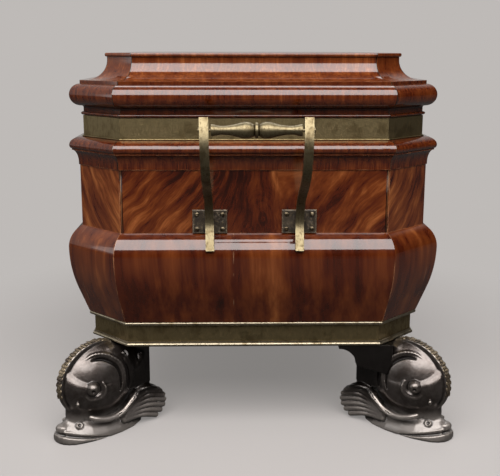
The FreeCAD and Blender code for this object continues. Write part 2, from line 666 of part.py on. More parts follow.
def lock_bolt():
    """A bar with two fingers that pass through the lid's staples when it slides towards +Y."""
    back, front = lock_case_back()
    middle = (back + front) / 2
    low, high = middle - BOLT_THICKNESS / 2, middle + BOLT_THICKNESS / 2
    bar_low, bar_high, finger_low, finger_high = bolt_levels()
    tips = [y - STAPLE_LENGTH / 2 - 2 * LOCK_PLAY for y in staple_middles()]
    tails = [tip - BOLT_FINGER_LENGTH for tip in tips]
    bolt = lock_box(low, high, tails[0], tails[1] + BOLT_ARM, bar_low, bar_high)
    for tip, tail in zip(tips, tails):
        bolt = bolt.fuse(lock_box(low, high, tail, tail + BOLT_ARM, bar_low, finger_high))
        bolt = bolt.fuse(lock_box(low, high, tail, tip, finger_low, finger_high))
    notch = KEY_BIT_REACH + LOCK_PLAY
    talon = lock_box(low - CUT_MARGIN, high + CUT_MARGIN, -BOLT_TRAVEL - notch, -BOLT_TRAVEL + notch,
                     bar_low - CUT_MARGIN, bar_low + TALON_DEPTH)
    return bolt.cut(talon).removeSplitter()


def link_plate():
    """The plate under the lid's edge with the two staples that drop into the lock."""
    back, front = face_plate_edges()
    half = FACE_PLATE_LENGTH / 2
    plate = lock_box(LID_INSIDE, front, -half, half, LID_FOOT, LID_FOOT + PLATE_THICKNESS)
    low, high = staple_edges()
    _, _, finger_low, finger_high = bolt_levels()
    for y in staple_middles():
        arm = lock_box(low, high, y - STAPLE_LENGTH / 2, y + STAPLE_LENGTH / 2,
                       finger_low - LOCK_PLAY - STAPLE_WALL, LID_FOOT)
        eye = lock_box(low + STAPLE_WALL - LOCK_PLAY, high - STAPLE_WALL + LOCK_PLAY,
                       y - STAPLE_LENGTH, y + STAPLE_LENGTH, finger_low - LOCK_PLAY, finger_high + LOCK_PLAY)
        plate = plate.fuse(arm.cut(eye))
    return plate.removeSplitter()


def lock_mortise():
    """What the lock takes out of the rim frame."""
    back, front = lock_case_back()
    half = LOCK_LENGTH / 2
    bay = lock_box(back, front, -half, half, RIM_LEDGE - LOCK_FOOT_DROP, RIM_TOP)
    plate_back, plate_front = face_plate_edges()
    half_plate = FACE_PLATE_LENGTH / 2
    recess = lock_box(plate_back, plate_front, -half_plate, half_plate, RIM_TOP - PLATE_THICKNESS, RIM_TOP)
    return bay.fuse([recess, keyhole(front - CUT_MARGIN, BAND_FACE + CUT_MARGIN)])


def key():
    """Round stem, bit pointing down, and a ring bow."""
    _, front = lock_case_back()
    face = -FRIEZE_WIDTH / 2
    nose = front - KEY_REACH_IN
    bow_middle = BAND_FACE + KEY_STEM_OUT
    stem_end = bow_middle - KEY_BOW_RADIUS
    stem = Part.makeCylinder(KEY_SHAFT_RADIUS, stem_end - nose, V(face - stem_end, 0, KEY_LEVEL), V(1, 0, 0))
    bit = lock_box(nose, nose + KEY_BIT_DEPTH, -KEY_BIT_WIDTH / 2, KEY_BIT_WIDTH / 2,
                   KEY_LEVEL - KEY_BIT_REACH, KEY_LEVEL)
    bow = Part.makeTorus(KEY_BOW_RADIUS, KEY_BOW_WIRE, V(0, 0, 0), V(0, 1, 0))
    bow.rotate(V(0, 0, 0), V(0, 1, 0), 45)    # keeps the seam of the ring off the stem
    bow.translate(V(face - bow_middle, 0, KEY_LEVEL))
    collar = Part.makeCylinder(KEY_SHAFT_RADIUS + KEY_COLLAR_RISE, KEY_COLLAR_LENGTH,
                               V(face - stem_end, 0, KEY_LEVEL), V(1, 0, 0))
    return stem.fuse(bit).fuse(collar).fuse(bow).removeSplitter()


def escutcheon():
    face = -FRIEZE_WIDTH / 2
    disc = Part.makeCylinder(ESCUTCHEON_RADIUS, ESCUTCHEON_THICKNESS,
                             V(face - BAND_FACE - ESCUTCHEON_THICKNESS, 0, KEY_LEVEL), V(1, 0, 0))
    return disc.cut(keyhole(BAND_FACE - CUT_MARGIN, BAND_FACE + ESCUTCHEON_THICKNESS + CUT_MARGIN))


# ---- carrying handles, drawn with +X outwards from the frieze ----
def strap_line():
    """The strap's middle line, as distance out and height, from its tail over the bulge to its top."""
    clear = STRAP_THICKNESS / 2
    plate = BACKPLATE_THICKNESS + clear
    return [(BULGE_WIDEST + clear + STRAP_TAIL_GAP, BULGE_WIDEST_LEVEL + STRAP_TAIL_RISE),
            (BULGE_WIDEST + clear - STRAP_SHOULDER_TUCK, BULGE_TOP - STRAP_SHOULDER_DROP),
            (plate, BULGE_TOP + STRAP_PLATE_RISE),
            (plate + STRAP_THROAT_OUT, BULGE_TOP + STRAP_THROAT_RISE),
            (STRAP_REACH / 2, BULGE_TOP + STRAP_MIDDLE_RISE),
            (STRAP_REACH - STRAP_UPPER_TUCK, BULGE_TOP + STRAP_UPPER_RISE),
            (STRAP_REACH, GRIP_LEVEL - STRAP_FULLEST_DROP),
            (STRAP_REACH - STRAP_ROD_TUCK, GRIP_LEVEL),
            (STRAP_REACH - STRAP_END_TUCK, GRIP_LEVEL + STRAP_END_RISE)]


def strap(hand):
    """One S-shaped strap; hand is +1 or -1 for its side of the handle."""
    points = [V(out, 0, level) for out, level in strap_line()]
    curve = Part.BSplineCurve()
    curve.interpolate(points)
    path = Part.Wire(curve.toShape())
    start = curve.tangent(curve.FirstParameter)[0]
    across = V(0, 1, 0)
    normal = across.cross(start)
    half_w, half_t = STRAP_WIDTH / 2, STRAP_THICKNESS / 2
    corners = [points[0] + across * (a * half_w) + normal * (b * half_t)
               for a, b in ((-1, -1), (1, -1), (1, 1), (-1, 1))]
    profile = Part.makePolygon(corners + corners[:1])
    sweep = Part.BRepOffsetAPI.MakePipeShell(path)
    sweep.setBiNormalMode(across)
    sweep.add(profile)
    sweep.build()
    sweep.makeSolid()
    solid = sweep.shape()
    solid.rotate(V(0, 0, BULGE_TOP), V(1, 0, 0), -STRAP_SPLAY * hand)
    solid.translate(V(0, hand * STRAP_HALF_SPACING, 0))
    return solid


def rod_place():
    """Distance out and height of the grip's axis."""
    return STRAP_REACH - STRAP_ROD_TUCK, GRIP_LEVEL


def strap_outside():
    """From the middle of the handle to the outer face of a strap at the rod."""
    rise = GRIP_LEVEL - BULGE_TOP
    return STRAP_HALF_SPACING + rise * math.tan(math.radians(STRAP_SPLAY)) + STRAP_WIDTH / 2


def grip_rod():
    out, level = rod_place()
    end = strap_outside() + ROD_HEAD_GAP
    rod = Part.makeCylinder(GRIP_ROD_RADIUS, 2 * end, V(out, -end, level), V(0, 1, 0))
    heads = [Part.makeCylinder(ROD_HEAD_RADIUS, ROD_HEAD_HEIGHT, V(out, hand * end, level), V(0, hand, 0))
             for hand in (-1, 1)]
    return rod.fuse(heads).removeSplitter()


def grip_outline():
    """Half of the grip from its middle to its end, as place along the axis and radius."""
    collar = GRIP_HALF_LENGTH - GRIP_COLLAR_LENGTH
    fall_radius = GRIP_SWELL_RADIUS - GRIP_FULLNESS
    bead = [(0.0, 0.0), (0.0, GRIP_BEAD_RADIUS), (GRIP_BEAD_HALF_WIDTH, GRIP_BEAD_RADIUS),
            (GRIP_GROOVE_PLACE, GRIP_GROOVE_RADIUS)]
    baluster = [bead[-1], (GRIP_RISE_PLACE, fall_radius), (GRIP_SWELL_PLACE, GRIP_SWELL_RADIUS),
                (GRIP_FALL_PLACE, fall_radius), (GRIP_WAIST_PLACE, GRIP_WAIST_RADIUS),
                (collar, GRIP_END_RADIUS - GRIP_COLLAR_STEP)]
    end = [baluster[-1], (GRIP_HALF_LENGTH, GRIP_END_RADIUS), (GRIP_HALF_LENGTH, 0.0), (0.0, 0.0)]
    return bead, baluster, end


def turned_grip():
    """A double baluster with a bead in the middle, bored for its rod."""
    bead, baluster, end = grip_outline()
    curve = Part.BSplineCurve()
    curve.interpolate([V(place, radius, 0) for place, radius in baluster])
    straight = [Part.makeLine(V(*a, 0), V(*b, 0)) for run in (bead, end) for a, b in zip(run, run[1:])]
    edges = straight[:len(bead) - 1] + [curve.toShape()] + straight[len(bead) - 1:]
    half = Part.Face(Part.Wire(edges)).revolve(V(0, 0, 0), V(1, 0, 0), 360)
    grip = half.fuse(half.mirror(V(0, 0, 0), V(1, 0, 0))).removeSplitter()
    bore_half = GRIP_HALF_LENGTH + CUT_MARGIN
    bore_radius = GRIP_ROD_RADIUS + GRIP_ROD_PLAY
    grip = grip.cut(Part.makeCylinder(bore_radius, 2 * bore_half, V(-bore_half, 0, 0), V(1, 0, 0)))
    out, level = rod_place()
    grip.rotate(V(0, 0, 0), UP, 90)
    grip.translate(V(out, 0, level))
    return grip


def backplate_levels():
    low = BULGE_TOP + BACKPLATE_RISE
    return low, low + BACKPLATE_HEIGHT


def backplate(hand):
    """A plate on the frieze with a bevelled front edge."""
    low, high = backplate_levels()
    middle = hand * STRAP_HALF_SPACING
    half = BACKPLATE_WIDTH / 2
    plate = box_between((0, middle - half, low), (BACKPLATE_THICKNESS, middle + half, high))
    front = max(plate.Faces, key=lambda face: face.CenterOfMass.x)
    return plate.makeChamfer(BACKPLATE_BEVEL, front.Edges)


def plate_screw(y, level):
    """A round-headed screw through a backplate into the frieze."""
    out = V(1, 0, 0)
    tip = V(BACKPLATE_THICKNESS - PLATE_SCREW_LENGTH, y, level)
    shank = Part.makeCylinder(PLATE_SCREW_RADIUS, PLATE_SCREW_LENGTH, tip, out)
    seat = V(BACKPLATE_THICKNESS, y, level)
    head = Part.makeCylinder(PLATE_SCREW_HEAD, PLATE_SCREW_HEAD_HEIGHT, seat, out)
    head = head.makeFillet(PLATE_SCREW_HEAD_ROUNDING, [head.Edges[0]])
    return head.fuse(shank).removeSplitter()


def plate_screws():
    low, high = backplate_levels()
    screws = []
    for hand in (-1, 1):
        for side in (-1, 1):
            y = hand * STRAP_HALF_SPACING + side * (BACKPLATE_WIDTH / 2 - PLATE_SCREW_INSET)
            screws += [plate_screw(y, level) for level in (low + PLATE_SCREW_INSET, high - PLATE_SCREW_INSET)]
    return screws


# ---- dolphin feet, drawn with +X outwards along the corner ----
def ellipsoid(centre, radii):
    stretch = FreeCAD.Matrix()
    stretch.scale(V(*radii))
    solid = Part.makeSphere(1.0).transformGeometry(stretch)
    solid.translate(V(*centre))
    return solid


def bill(reach, half_width, low, high):
    """A flat bill, half an ellipse in plan at its tip and straight behind."""
    length = (reach - BEAK_BACK) * BEAK_TIP_SHARE
    tip = Part.Ellipse(V(0, 0, 0), length, half_width).toShape()
    nose = Part.Face(Part.Wire(tip)).extrude(UP * (high - low))
    nose.translate(V(reach - length, 0, low))
    flank = half_width * BEAK_FLANK_SHARE
    return nose.fuse(box_between((BEAK_BACK, -flank, low), (reach - length, flank, high))).removeSplitter()


def fin(hand):
    """A fan behind the cheek, from the head down to the ground."""
    outline = section(FIN_FRONT, FIN_HEEL, (FIN_BELLY, FIN_TIP), FIN_UPPER_TIP, (FIN_HOLLOW, FIN_ROOT))
    low, high = (FIN_INNER, FIN_OUTER) if hand > 0 else (-FIN_OUTER, -FIN_INNER)
    outline.translate(V(0, low, 0))
    return outline.extrude(V(0, high - low, 0))


def bracket_ear(hand):
    """A coved bracket from the neck along the base, on the side of the foot that faces the case's end."""
    top = FOOT_HEIGHT
    cove_foot = top - EAR_LIP - EAR_COVE_RADIUS
    cove = quarter_ellipse((EAR_REACH, cove_foot), -EAR_COVE_RADIUS, EAR_COVE_RADIUS)
    outline = section((EAR_ROOT, top), (EAR_REACH, top), (EAR_REACH, top - EAR_LIP), cove,
                      (EAR_ROOT, top - EAR_DROP))
    start, end = octagon(BASE_BEAD_NOSE)[1:3]
    face = (end[1] - start[1]) / 2 - EAR_SETBACK
    outline.translate(V(0, face - EAR_THICKNESS, 0))
    ear = outline.extrude(V(0, EAR_THICKNESS, 0))
    ear.rotate(V(0, 0, 0), UP, -135)
    return ear if hand < 0 else ear.mirror(V(0, 0, 0), V(0, 1, 0))


def dolphin_foot(ear_hand):
    """One foot; ear_hand is +1 or -1 for the side that has a bracket ear, or 0 for none."""
    centre = (HEAD_CENTRE[0], 0.0, HEAD_CENTRE[1])
    head = ellipsoid(centre, HEAD_RADII)
    crest = ellipsoid(centre, [radius + CREST_RISE for radius in HEAD_RADII])
    crest = crest.common(box_between((0, -CREST_HALF_WIDTH, 0), (FOOT_SPAN, CREST_HALF_WIDTH, FOOT_SPAN)))
    neck = box_between((NECK_BACK, -NECK_HALF_WIDTH, NECK_FOOT), (NECK_FRONT, NECK_HALF_WIDTH, FOOT_HEIGHT))
    neck = neck.makeFillet(NECK_ROUNDING, upright_edges(neck))
    beak = bill(BEAK_REACH, BEAK_HALF_WIDTH, JAW_TOP + MOUTH_GAP, BEAK_TOP)
    jaw = bill(BEAK_REACH - JAW_SETBACK, BEAK_HALF_WIDTH - JAW_INSET, 0.0, JAW_TOP)
    throat_half = BEAK_HALF_WIDTH * THROAT_SHARE
    throat = box_between((BEAK_BACK, -throat_half, JAW_TOP - CUT_MARGIN),
                         (BEAK_REACH - MOUTH_CORNER, throat_half, JAW_TOP + MOUTH_GAP + CUT_MARGIN))
    foot = head.fuse([crest, neck, beak, jaw, throat])
    x, y, z = EYE_PLACE
    for hand in (-1, 1):
        place = V(x, hand * y, z)
        ring = Part.makeTorus(EYE_RING_RADIUS, EYE_RING_WIRE, place, V(EYE_TILT, hand, 0))
        foot = foot.fuse([Part.makeSphere(EYE_RADIUS, place), ring, fin(hand)])
    if ear_hand:
        foot = foot.fuse(bracket_ear(ear_hand))
    foot = foot.cut(box_between((-FOOT_SPAN, -FOOT_SPAN, FOOT_HEIGHT), (HEAD_GAP, FOOT_SPAN, FOOT_SPAN)))
    return foot.removeSplitter()


def foot_place(corner):
    """Plan place of a foot's own origin, on the canted face of the base, and its turn in degrees."""
    side = SIDE_NAMES.index(corner)
    ends = octagon(BASE_BEAD_NOSE)
    start, end = ends[side], ends[(side + 1) % 8]
    return V((start[0] + end[0]) / 2, (start[1] + end[1]) / 2, 0), SIDE_ANGLES[side]


def at_foot(shape, corner):
    place, turn = foot_place(corner)
    placed = shape.copy()
    placed.rotate(V(0, 0, 0), UP, turn)
    placed.translate(place)
    return placed


def foot_screw(out):
    """Goes down through the base board and frame into the foot, its head flush with the board."""
    length = FOOT_SCREW_GRIP + BASE_BOARD_TOP - FOOT_HEIGHT
    countersink = FOOT_SCREW_HEAD - FOOT_SCREW_RADIUS
    top = V(out, 0, BASE_BOARD_TOP)
    head = Part.makeCone(FOOT_SCREW_HEAD, FOOT_SCREW_RADIUS, countersink, top, -UP)
    shank = Part.makeCylinder(FOOT_SCREW_RADIUS, length, top, -UP)
    return head.fuse(shank).removeSplitter()


# ---- assembly ----
def case_nodes():
    nodes = {}
    pocket = hinge_pockets()
    mortise = lock_mortise()
    foot_screws = [at_foot(foot_screw(out), corner) for corner in CORNERS for out in FOOT_SCREW_PLACES]
    screw_holes = Part.makeCompound(foot_screws)
    board = octagon_prism(BASE_EDGE, FOOT_HEIGHT + BASE_FRAME_HEIGHT, BASE_BOARD_TOP)
    nodes["base_board"] = [board.cut(screw_holes)]
    nodes["base_frame"] = cut_each(mitred_lengths(base_frame_section()), screw_holes)
    nodes["base_lower_bead"] = mitred_lengths(base_lower_bead_section())
    nodes["base_band"] = mitred_lengths(base_band_section())
    nodes["base_upper_bead"] = mitred_lengths(base_upper_bead_section())
    nodes["foot_screws"] = foot_screws
    for corner in CORNERS:
        foot = dolphin_foot(EAR_HANDS[corner])
        nodes["dolphin_foot_" + corner] = [at_foot(foot, corner).cut(screw_holes)]
    bulge = mitred_lengths(bulge_section())
    frieze = mitred_lengths(frieze_section())
    plate_holes = Part.makeCompound([on_side(screw, side) for side in (0, 4) for screw in plate_screws()])
    for name in SIDE_NAMES:
        nodes["bulge_" + name] = [bulge[SIDE_NAMES.index(name)]]
    for name in FLAT_SIDES:
        nodes["frieze_" + name] = cut_each([frieze[SIDE_NAMES.index(name)]], plate_holes)
    nodes["frieze_corners"] = [frieze[SIDE_NAMES.index(name)] for name in CORNERS]
    nodes["rim_moulding"] = mitred_lengths(rim_moulding_section())
    nodes["rim_frame"] = cut_each(cut_each(mitred_lengths(rim_frame_section()), pocket), mortise)
    leaf_screws = Part.makeCompound(all_leaf_screws(False))
    nodes["rim_frame"] = cut_each(nodes["rim_frame"], leaf_screws)
    nodes["upper_band"] = cut_each(cut_each(mitred_lengths(upper_band_section()), pocket), mortise)
    nodes["lead_lining"] = [lead_lining()]
    nodes["long_bottle_dividers"], nodes["cross_bottle_dividers"] = dividers()
    return nodes


def all_leaf_screws(screw_up):
    low, high = leaf_levels()[1 if screw_up else 0]
    return [leaf_screw(middle, number, low, high, screw_up)
            for middle in hinge_middles() for number in range(LEAF_SCREWS)]


def hinge_nodes():
    nodes = {}
    (case_low, case_high), (lid_low, lid_high) = leaf_levels()
    x, z = hinge_axis()
    loose_bore = HINGE_PIN_RADIUS + PIN_PLAY
    pins = []
    for name, middle in zip(("right", "left"), hinge_middles()):
        case_leaf = hinge_leaf(middle, 0, case_low, case_high, False, HINGE_PIN_RADIUS)
        lid_leaf = hinge_leaf(middle, 1, lid_low, lid_high, True, loose_bore)
        nodes["hinge_case_leaf_" + name] = [case_leaf]
        nodes["hinge_lid_leaf_" + name] = [lid_leaf]
        pin_start = V(x, middle - HINGE_LENGTH / 2, z)
        pins.append(Part.makeCylinder(HINGE_PIN_RADIUS, HINGE_LENGTH, pin_start, V(0, 1, 0)))
    nodes["hinge_pins"] = pins
    nodes["hinge_case_screws"] = all_leaf_screws(False)
    nodes["hinge_lid_screws"] = all_leaf_screws(True)
    return nodes


def lock_nodes():
    return {"lock_case": [lock_case()], "lock_face_plate": [lock_face_plate()], "lock_bolt": [lock_bolt()],
            "lock_link_plate": [link_plate()], "key": [key()], "escutcheon": [escutcheon()]}


def lid_nodes():
    pocket = hinge_pockets()
    screws = Part.makeCompound(all_leaf_screws(True))
    astragal = cut_each(cut_each(mitred_lengths(astragal_section()), pocket), screws)
    return {"lid_astragal": cut_each(astragal, link_plate()),
            "lid_torus": mitred_lengths(torus_section()),
            "lid_cavetto": mitred_lengths(lid_cavetto_section()),
            "lid_top_panel": [lid_top_panel()]}


def handle_nodes():
    nodes = {}
    rod = grip_rod()
    screws = plate_screws()
    for name, side in (("right", 0), ("left", 4)):
        for hand, hand_name in zip((-1, 1), ("front", "back") if name == "right" else ("back", "front")):
            plate = backplate(hand).cut(screws)
            bar = strap(hand).cut(rod)
            nodes["handle_strap_%s_%s" % (name, hand_name)] = [on_side(bar.cut(plate), side)]
            nodes["handle_plate_%s_%s" % (name, hand_name)] = [on_side(plate, side)]
        nodes["handle_rod_" + name] = [on_side(rod, side)]
        nodes["handle_grip_" + name] = [on_side(turned_grip(), side)]
    nodes["handle_screws"] = [on_side(screw, side) for side in (0, 4) for screw in screws]
    return nodes


def main():
    os.makedirs("parts", exist_ok=True)
    nodes = {}
    for group in (case_nodes(), hinge_nodes(), lock_nodes(), lid_nodes(), handle_nodes()):
        nodes.update(group)
    for name, solids in nodes.items():
        shape = solids[0] if len(solids) == 1 else Part.makeCompound(solids)
        shape.exportStep("parts/%s.step" % name)
    print(len(nodes), "nodes")


main()
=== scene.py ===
import math

import bmesh
import bpy
import numpy as np
from mathutils import Matrix, Vector


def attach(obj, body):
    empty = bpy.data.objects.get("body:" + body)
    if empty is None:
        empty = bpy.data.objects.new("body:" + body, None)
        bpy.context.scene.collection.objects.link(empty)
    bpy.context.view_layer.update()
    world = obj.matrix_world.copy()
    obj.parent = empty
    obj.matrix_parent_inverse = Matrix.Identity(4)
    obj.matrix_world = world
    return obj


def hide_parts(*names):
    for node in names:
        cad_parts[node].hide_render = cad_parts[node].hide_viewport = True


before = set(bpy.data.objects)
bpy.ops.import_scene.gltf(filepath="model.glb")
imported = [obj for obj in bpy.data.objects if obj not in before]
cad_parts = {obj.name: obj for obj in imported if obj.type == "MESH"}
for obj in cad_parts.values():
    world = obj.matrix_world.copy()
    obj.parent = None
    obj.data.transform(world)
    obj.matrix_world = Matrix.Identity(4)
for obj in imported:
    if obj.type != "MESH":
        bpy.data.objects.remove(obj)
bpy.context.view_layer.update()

# ---- sizes of the case that patterns and pieces follow, in metres ----
HALF_WIDTH = 0.260            # frieze, across
HALF_LENGTH = 0.350           # frieze, along
CANT_DISTANCE = 0.38466       # middle of the case to the face of a canted corner
FRIEZE_FOOT = 0.311576
FRIEZE_HEAD = 0.404076
CORNERS = {"back_right": -45.0, "back_left": 45.0, "front_left": 135.0, "front_right": 225.0}
FOOT_PLACE = (0.22099, 0.31099)
EAR_HANDS = {"back_right": -1, "back_left": 1, "front_left": -1, "front_right": 0}   # 0: no bracket ear
HANDS = (-1, 1)
DIAGONAL = math.sqrt(0.5)     # share of x and of y on the way out to a canted corner


def put(name, data):
    thing = bpy.data.objects.new(name, data)
    bpy.context.scene.collection.objects.link(thing)
    return thing


# ---- laying nodes ----
class Bench:
    """Lays nodes into one tree and joins them."""

    def __init__(self, tree):
        self.tree = tree

    def add(self, kind, inputs=None, **settings):
        node = self.tree.nodes.new(kind)
        for key, value in settings.items():
            setattr(node, key, value)
        for key, value in (inputs or {}).items():
            self.feed(node.inputs[key], value)
        return node

    def feed(self, socket, value):
        if isinstance(value, bpy.types.NodeSocket):
            self.tree.links.new(value, socket)
        else:
            socket.default_value = value

    def fill(self, sockets, **values):
        """Feeds sockets by name, with _ for each space."""
        for name, value in values.items():
            self.feed(sockets[name.replace("_", " ")], value)

    def use(self, group, **values):
        node = self.add("ShaderNodeGroup", node_tree=group)
        self.fill(node.inputs, **values)
        return node.outputs

    def math(self, operation, first, second=0.0, third=0.0):
        return self.add("ShaderNodeMath", {0: first, 1: second, 2: third}, operation=operation).outputs[0]

    def plus(self, first, second):
        return self.math("ADD", first, second)

    def minus(self, first, second):
        return self.math("SUBTRACT", first, second)

    def times(self, first, second, then_plus=0.0):
        return self.math("MULTIPLY_ADD", first, second, then_plus)

    def most(self, first, second):
        return self.math("MAXIMUM", first, second)

    def vector(self, operation, first, second=(0.0, 0.0, 0.0), output=0):
        return self.add("ShaderNodeVectorMath", {0: first, 1: second}, operation=operation).outputs[output]

    def length(self, vector):
        return self.vector("LENGTH", vector, output="Value")

    def split(self, vector):
        return self.add("ShaderNodeSeparateXYZ", {0: vector}).outputs

    def join(self, x, y, z):
        return self.add("ShaderNodeCombineXYZ", {0: x, 1: y, 2: z}).outputs[0]

    def here(self, kind="Object"):
        return self.add("ShaderNodeTexCoord").outputs[kind]

    def noise(self, vector, scale, detail=3.0, roughness=0.5, warp=0.0, output="Fac"):
        return self.add("ShaderNodeTexNoise", {"Vector": vector, "Scale": scale, "Detail": detail,
                                               "Roughness": roughness, "Distortion": warp}).outputs[output]

    def drift(self, place, scale):
        """A slow wander in each direction, from -0.5 to 0.5."""
        return self.vector("SUBTRACT", self.noise(place, scale, 2.0, output="Color"), (0.5, 0.5, 0.5))

    def ramp(self, value, *stops):
        """Colour or level at each place along 0 to 1."""
        node = self.add("ShaderNodeValToRGB", {"Fac": value})
        elements = node.color_ramp.elements
        while len(elements) < len(stops):
            elements.new(0.5)
        for element, (place, colour) in zip(elements, stops):
            element.position = place
            element.color = (*(colour if isinstance(colour, tuple) else (colour,) * 3), 1.0)
        return node.outputs["Color"]

    def between(self, value, low, high, to_low=0.0, to_high=1.0, smooth=True):
        return self.add("ShaderNodeMapRange", {"Value": value, "From Min": low, "From Max": high,
                                               "To Min": to_low, "To Max": to_high},
                        interpolation_type="SMOOTHSTEP" if smooth else "LINEAR").outputs[0]

    def along_side(self, along, *stops):
        """A level that changes from one end of a side to the other."""
        return self.ramp(self.between(along, -0.2, 0.2, smooth=False), *stops)

    def blend(self, factor, first, second):
        return self.add("ShaderNodeMix", {0: factor, 2: first, 3: second}, data_type="FLOAT").outputs[0]

    def mix(self, factor, *colours):
        first, second = ((*c, 1.0) if isinstance(c, tuple) else c for c in colours)
        return self.add("ShaderNodeMix", {0: factor, 6: first, 7: second}, data_type="RGBA").outputs[2]

    def relief(self, height, depth, strength):
        node = self.add("ShaderNodeBump", {"Height": height, "Distance": depth, "Strength": strength})
        return node.outputs["Normal"]


def effect(name, inputs, outputs):
    """An empty node group of numbers and one vector, Place: (bench, its inputs, its outputs)."""
    tree = bpy.data.node_groups.new(name, "ShaderNodeTree")
    for in_out, labels in (("INPUT", inputs), ("OUTPUT", outputs)):
        for label in labels:
            kind = "NodeSocketVector" if label == "Place" else "NodeSocketFloat"
            tree.interface.new_socket(label, in_out=in_out, socket_type=kind)
    bench = Bench(tree)
    return bench, bench.add("NodeGroupInput").outputs, bench.add("NodeGroupOutput").inputs


def bench_of(owner):
    """A bench on the emptied tree of a material or a world."""
    owner.use_nodes = True
    owner.node_tree.nodes.clear()
    return Bench(owner.node_tree)


# ---- effects that finishes share ----
def lay_out_sides():
    """Place along, out from and up each of the eight sides, and how far the nearest mitre is."""
    bench, _, out = effect("eight sides", [], ["Place", "Along", "Level", "Canted", "Mitre"])
    x, y, z = bench.split(bench.here())
    wide, deep = bench.math("ABSOLUTE", x), bench.math("ABSOLUTE", y)
    off_x, off_y = bench.minus(wide, HALF_WIDTH), bench.minus(deep, HALF_LENGTH)
    off_cant = bench.times(bench.plus(wide, deep), DIAGONAL, -CANT_DISTANCE)
    straight = bench.most(off_x, off_y)
    canted = bench.math("GREATER_THAN", off_cant, straight)
    on_end = bench.math("GREATER_THAN", off_y, off_x)
    along = bench.blend(on_end, y, x)
    along = bench.blend(canted, along, bench.times(bench.minus(wide, deep), DIAGONAL))
    # each side has a number of its own, so that no two show the same veneer
    hand_x, hand_y = bench.math("SIGN", x), bench.math("SIGN", y)
    end_number = bench.times(hand_y, 1.37, bench.times(on_end, 5.1))
    cant_number = bench.times(hand_x, 2.9, bench.times(hand_y, 1.7, 9.0))
    number = bench.blend(on_end, bench.times(hand_x, 3.3, 4.0), end_number)
    number = bench.blend(canted, number, cant_number)
    outwards = bench.plus(bench.most(straight, off_cant), number)
    bench.fill(out, Place=bench.join(along, outwards, z), Along=along, Level=z, Canted=canted,
               Mitre=bench.math("ABSOLUTE", bench.minus(off_cant, straight)))
    return bench.tree


def lay_out_figure():
    """Light and dark of a veneer: streaks that lean and wave, with fine lines between them."""
    bench, given, out = effect("veneer figure", ["Place", "Lean", "Streak", "Stretch", "Wave", "Fine"],
                               ["Figure", "Lines", "Pores"])
    place = given["Place"]
    drift = bench.add("ShaderNodeVectorMath", {0: bench.drift(place, 9.0), "Scale": given["Wave"]},
                      operation="SCALE").outputs[0]
    turned = bench.add("ShaderNodeVectorRotate", {"Vector": bench.vector("ADD", place, drift),
                                                  "Axis": (0.0, 1.0, 0.0), "Angle": given["Lean"]}).outputs[0]
    drawn = bench.vector("MULTIPLY", turned, bench.join(1.0, 1.0, given["Stretch"]))
    broad = bench.noise(drawn, given["Streak"], 2.0, 0.45)
    narrow = bench.noise(drawn, bench.times(given["Streak"], given["Fine"]), 3.0, 0.6)
    figure = bench.times(narrow, 0.22, bench.times(broad, 0.78))
    clouds = bench.minus(bench.noise(place, 14.0, 2.0), 0.5)
    pores = bench.add("ShaderNodeTexVoronoi", {"Vector": bench.vector("MULTIPLY", turned, (1.0, 1.0, 0.06)),
                                               "Scale": 900.0}).outputs["Distance"]
    bench.fill(out, Figure=bench.times(clouds, 0.35, figure), Lines=narrow,
               Pores=bench.between(pores, 0.08, 0.3))
    return bench.tree


SWIRL = (0.010, 0.335)        # middle of the crotch's swirl: along the side, up


def lay_out_crotch():
    """Crotch veneer: feathers that climb outwards on both sides of a dark swirl."""
    bench, given, out = effect("crotch figure", ["Along", "Level", "Place"], ["Figure", "Lines"])
    place = given["Place"]
    drift = bench.split(bench.drift(place, 11.0))
    along = bench.times(drift[0], 0.036, given["Along"])
    level = bench.times(drift[2], 0.034, given["Level"])
    lean = bench.along_side(along, (0.00, 0.95), (0.20, 1.0), (0.36, 0.85), (0.47, 0.25), (0.60, 0.0),
                            (0.68, 0.35), (0.80, 0.62), (1.00, 0.95))
    climb = bench.times(bench.minus(lean, 0.08), bench.minus(level, FRIEZE_FOOT))
    depth = bench.split(place)[1]
    plume = bench.join(bench.minus(along, climb), bench.times(given["Level"], 0.22), depth)
    narrow = bench.noise(plume, 420.0, 3.0, 0.65)
    swirl = bench.join(bench.minus(along, SWIRL[0]), 0.0, bench.minus(level, SWIRL[1]))
    far = bench.length(bench.vector("MULTIPLY", swirl, (1.0, 1.0, 0.75)))
    rings = bench.noise(bench.join(far, 0.0, depth), 190.0, 2.0, 0.6)
    broad = bench.blend(bench.times(bench.between(far, 0.050, 0.018), 0.55),
                        bench.noise(plume, 62.0, 3.0, 0.55), bench.times(rings, 0.8, 0.05))
    figure = bench.times(narrow, 0.30, bench.times(broad, 0.95, -0.125))
    clouds = bench.minus(bench.noise(place, 11.0, 2.0), 0.5)
    bench.fill(out, Figure=bench.times(clouds, 0.45, figure), Lines=narrow)
    return bench.tree


def lay_out_wear():
    """How much an edge has been rubbed, broken up along its length."""
    bench, given, out = effect("rubbed edges", ["Width", "Patchiness"], ["Wear"])
    soft = bench.add("ShaderNodeBevel", {"Radius": given["Width"]}, samples=4).outputs[0]
    sharp = bench.add("ShaderNodeNewGeometry").outputs["Normal"]
    edge = bench.between(bench.vector("DOT_PRODUCT", soft, sharp, "Value"), 0.995, 0.86)
    patches = bench.between(bench.noise(bench.here(), given["Patchiness"], 4.0, 0.6), 0.35, 0.7)
    bench.fill(out, Wear=bench.times(edge, patches))
    return bench.tree


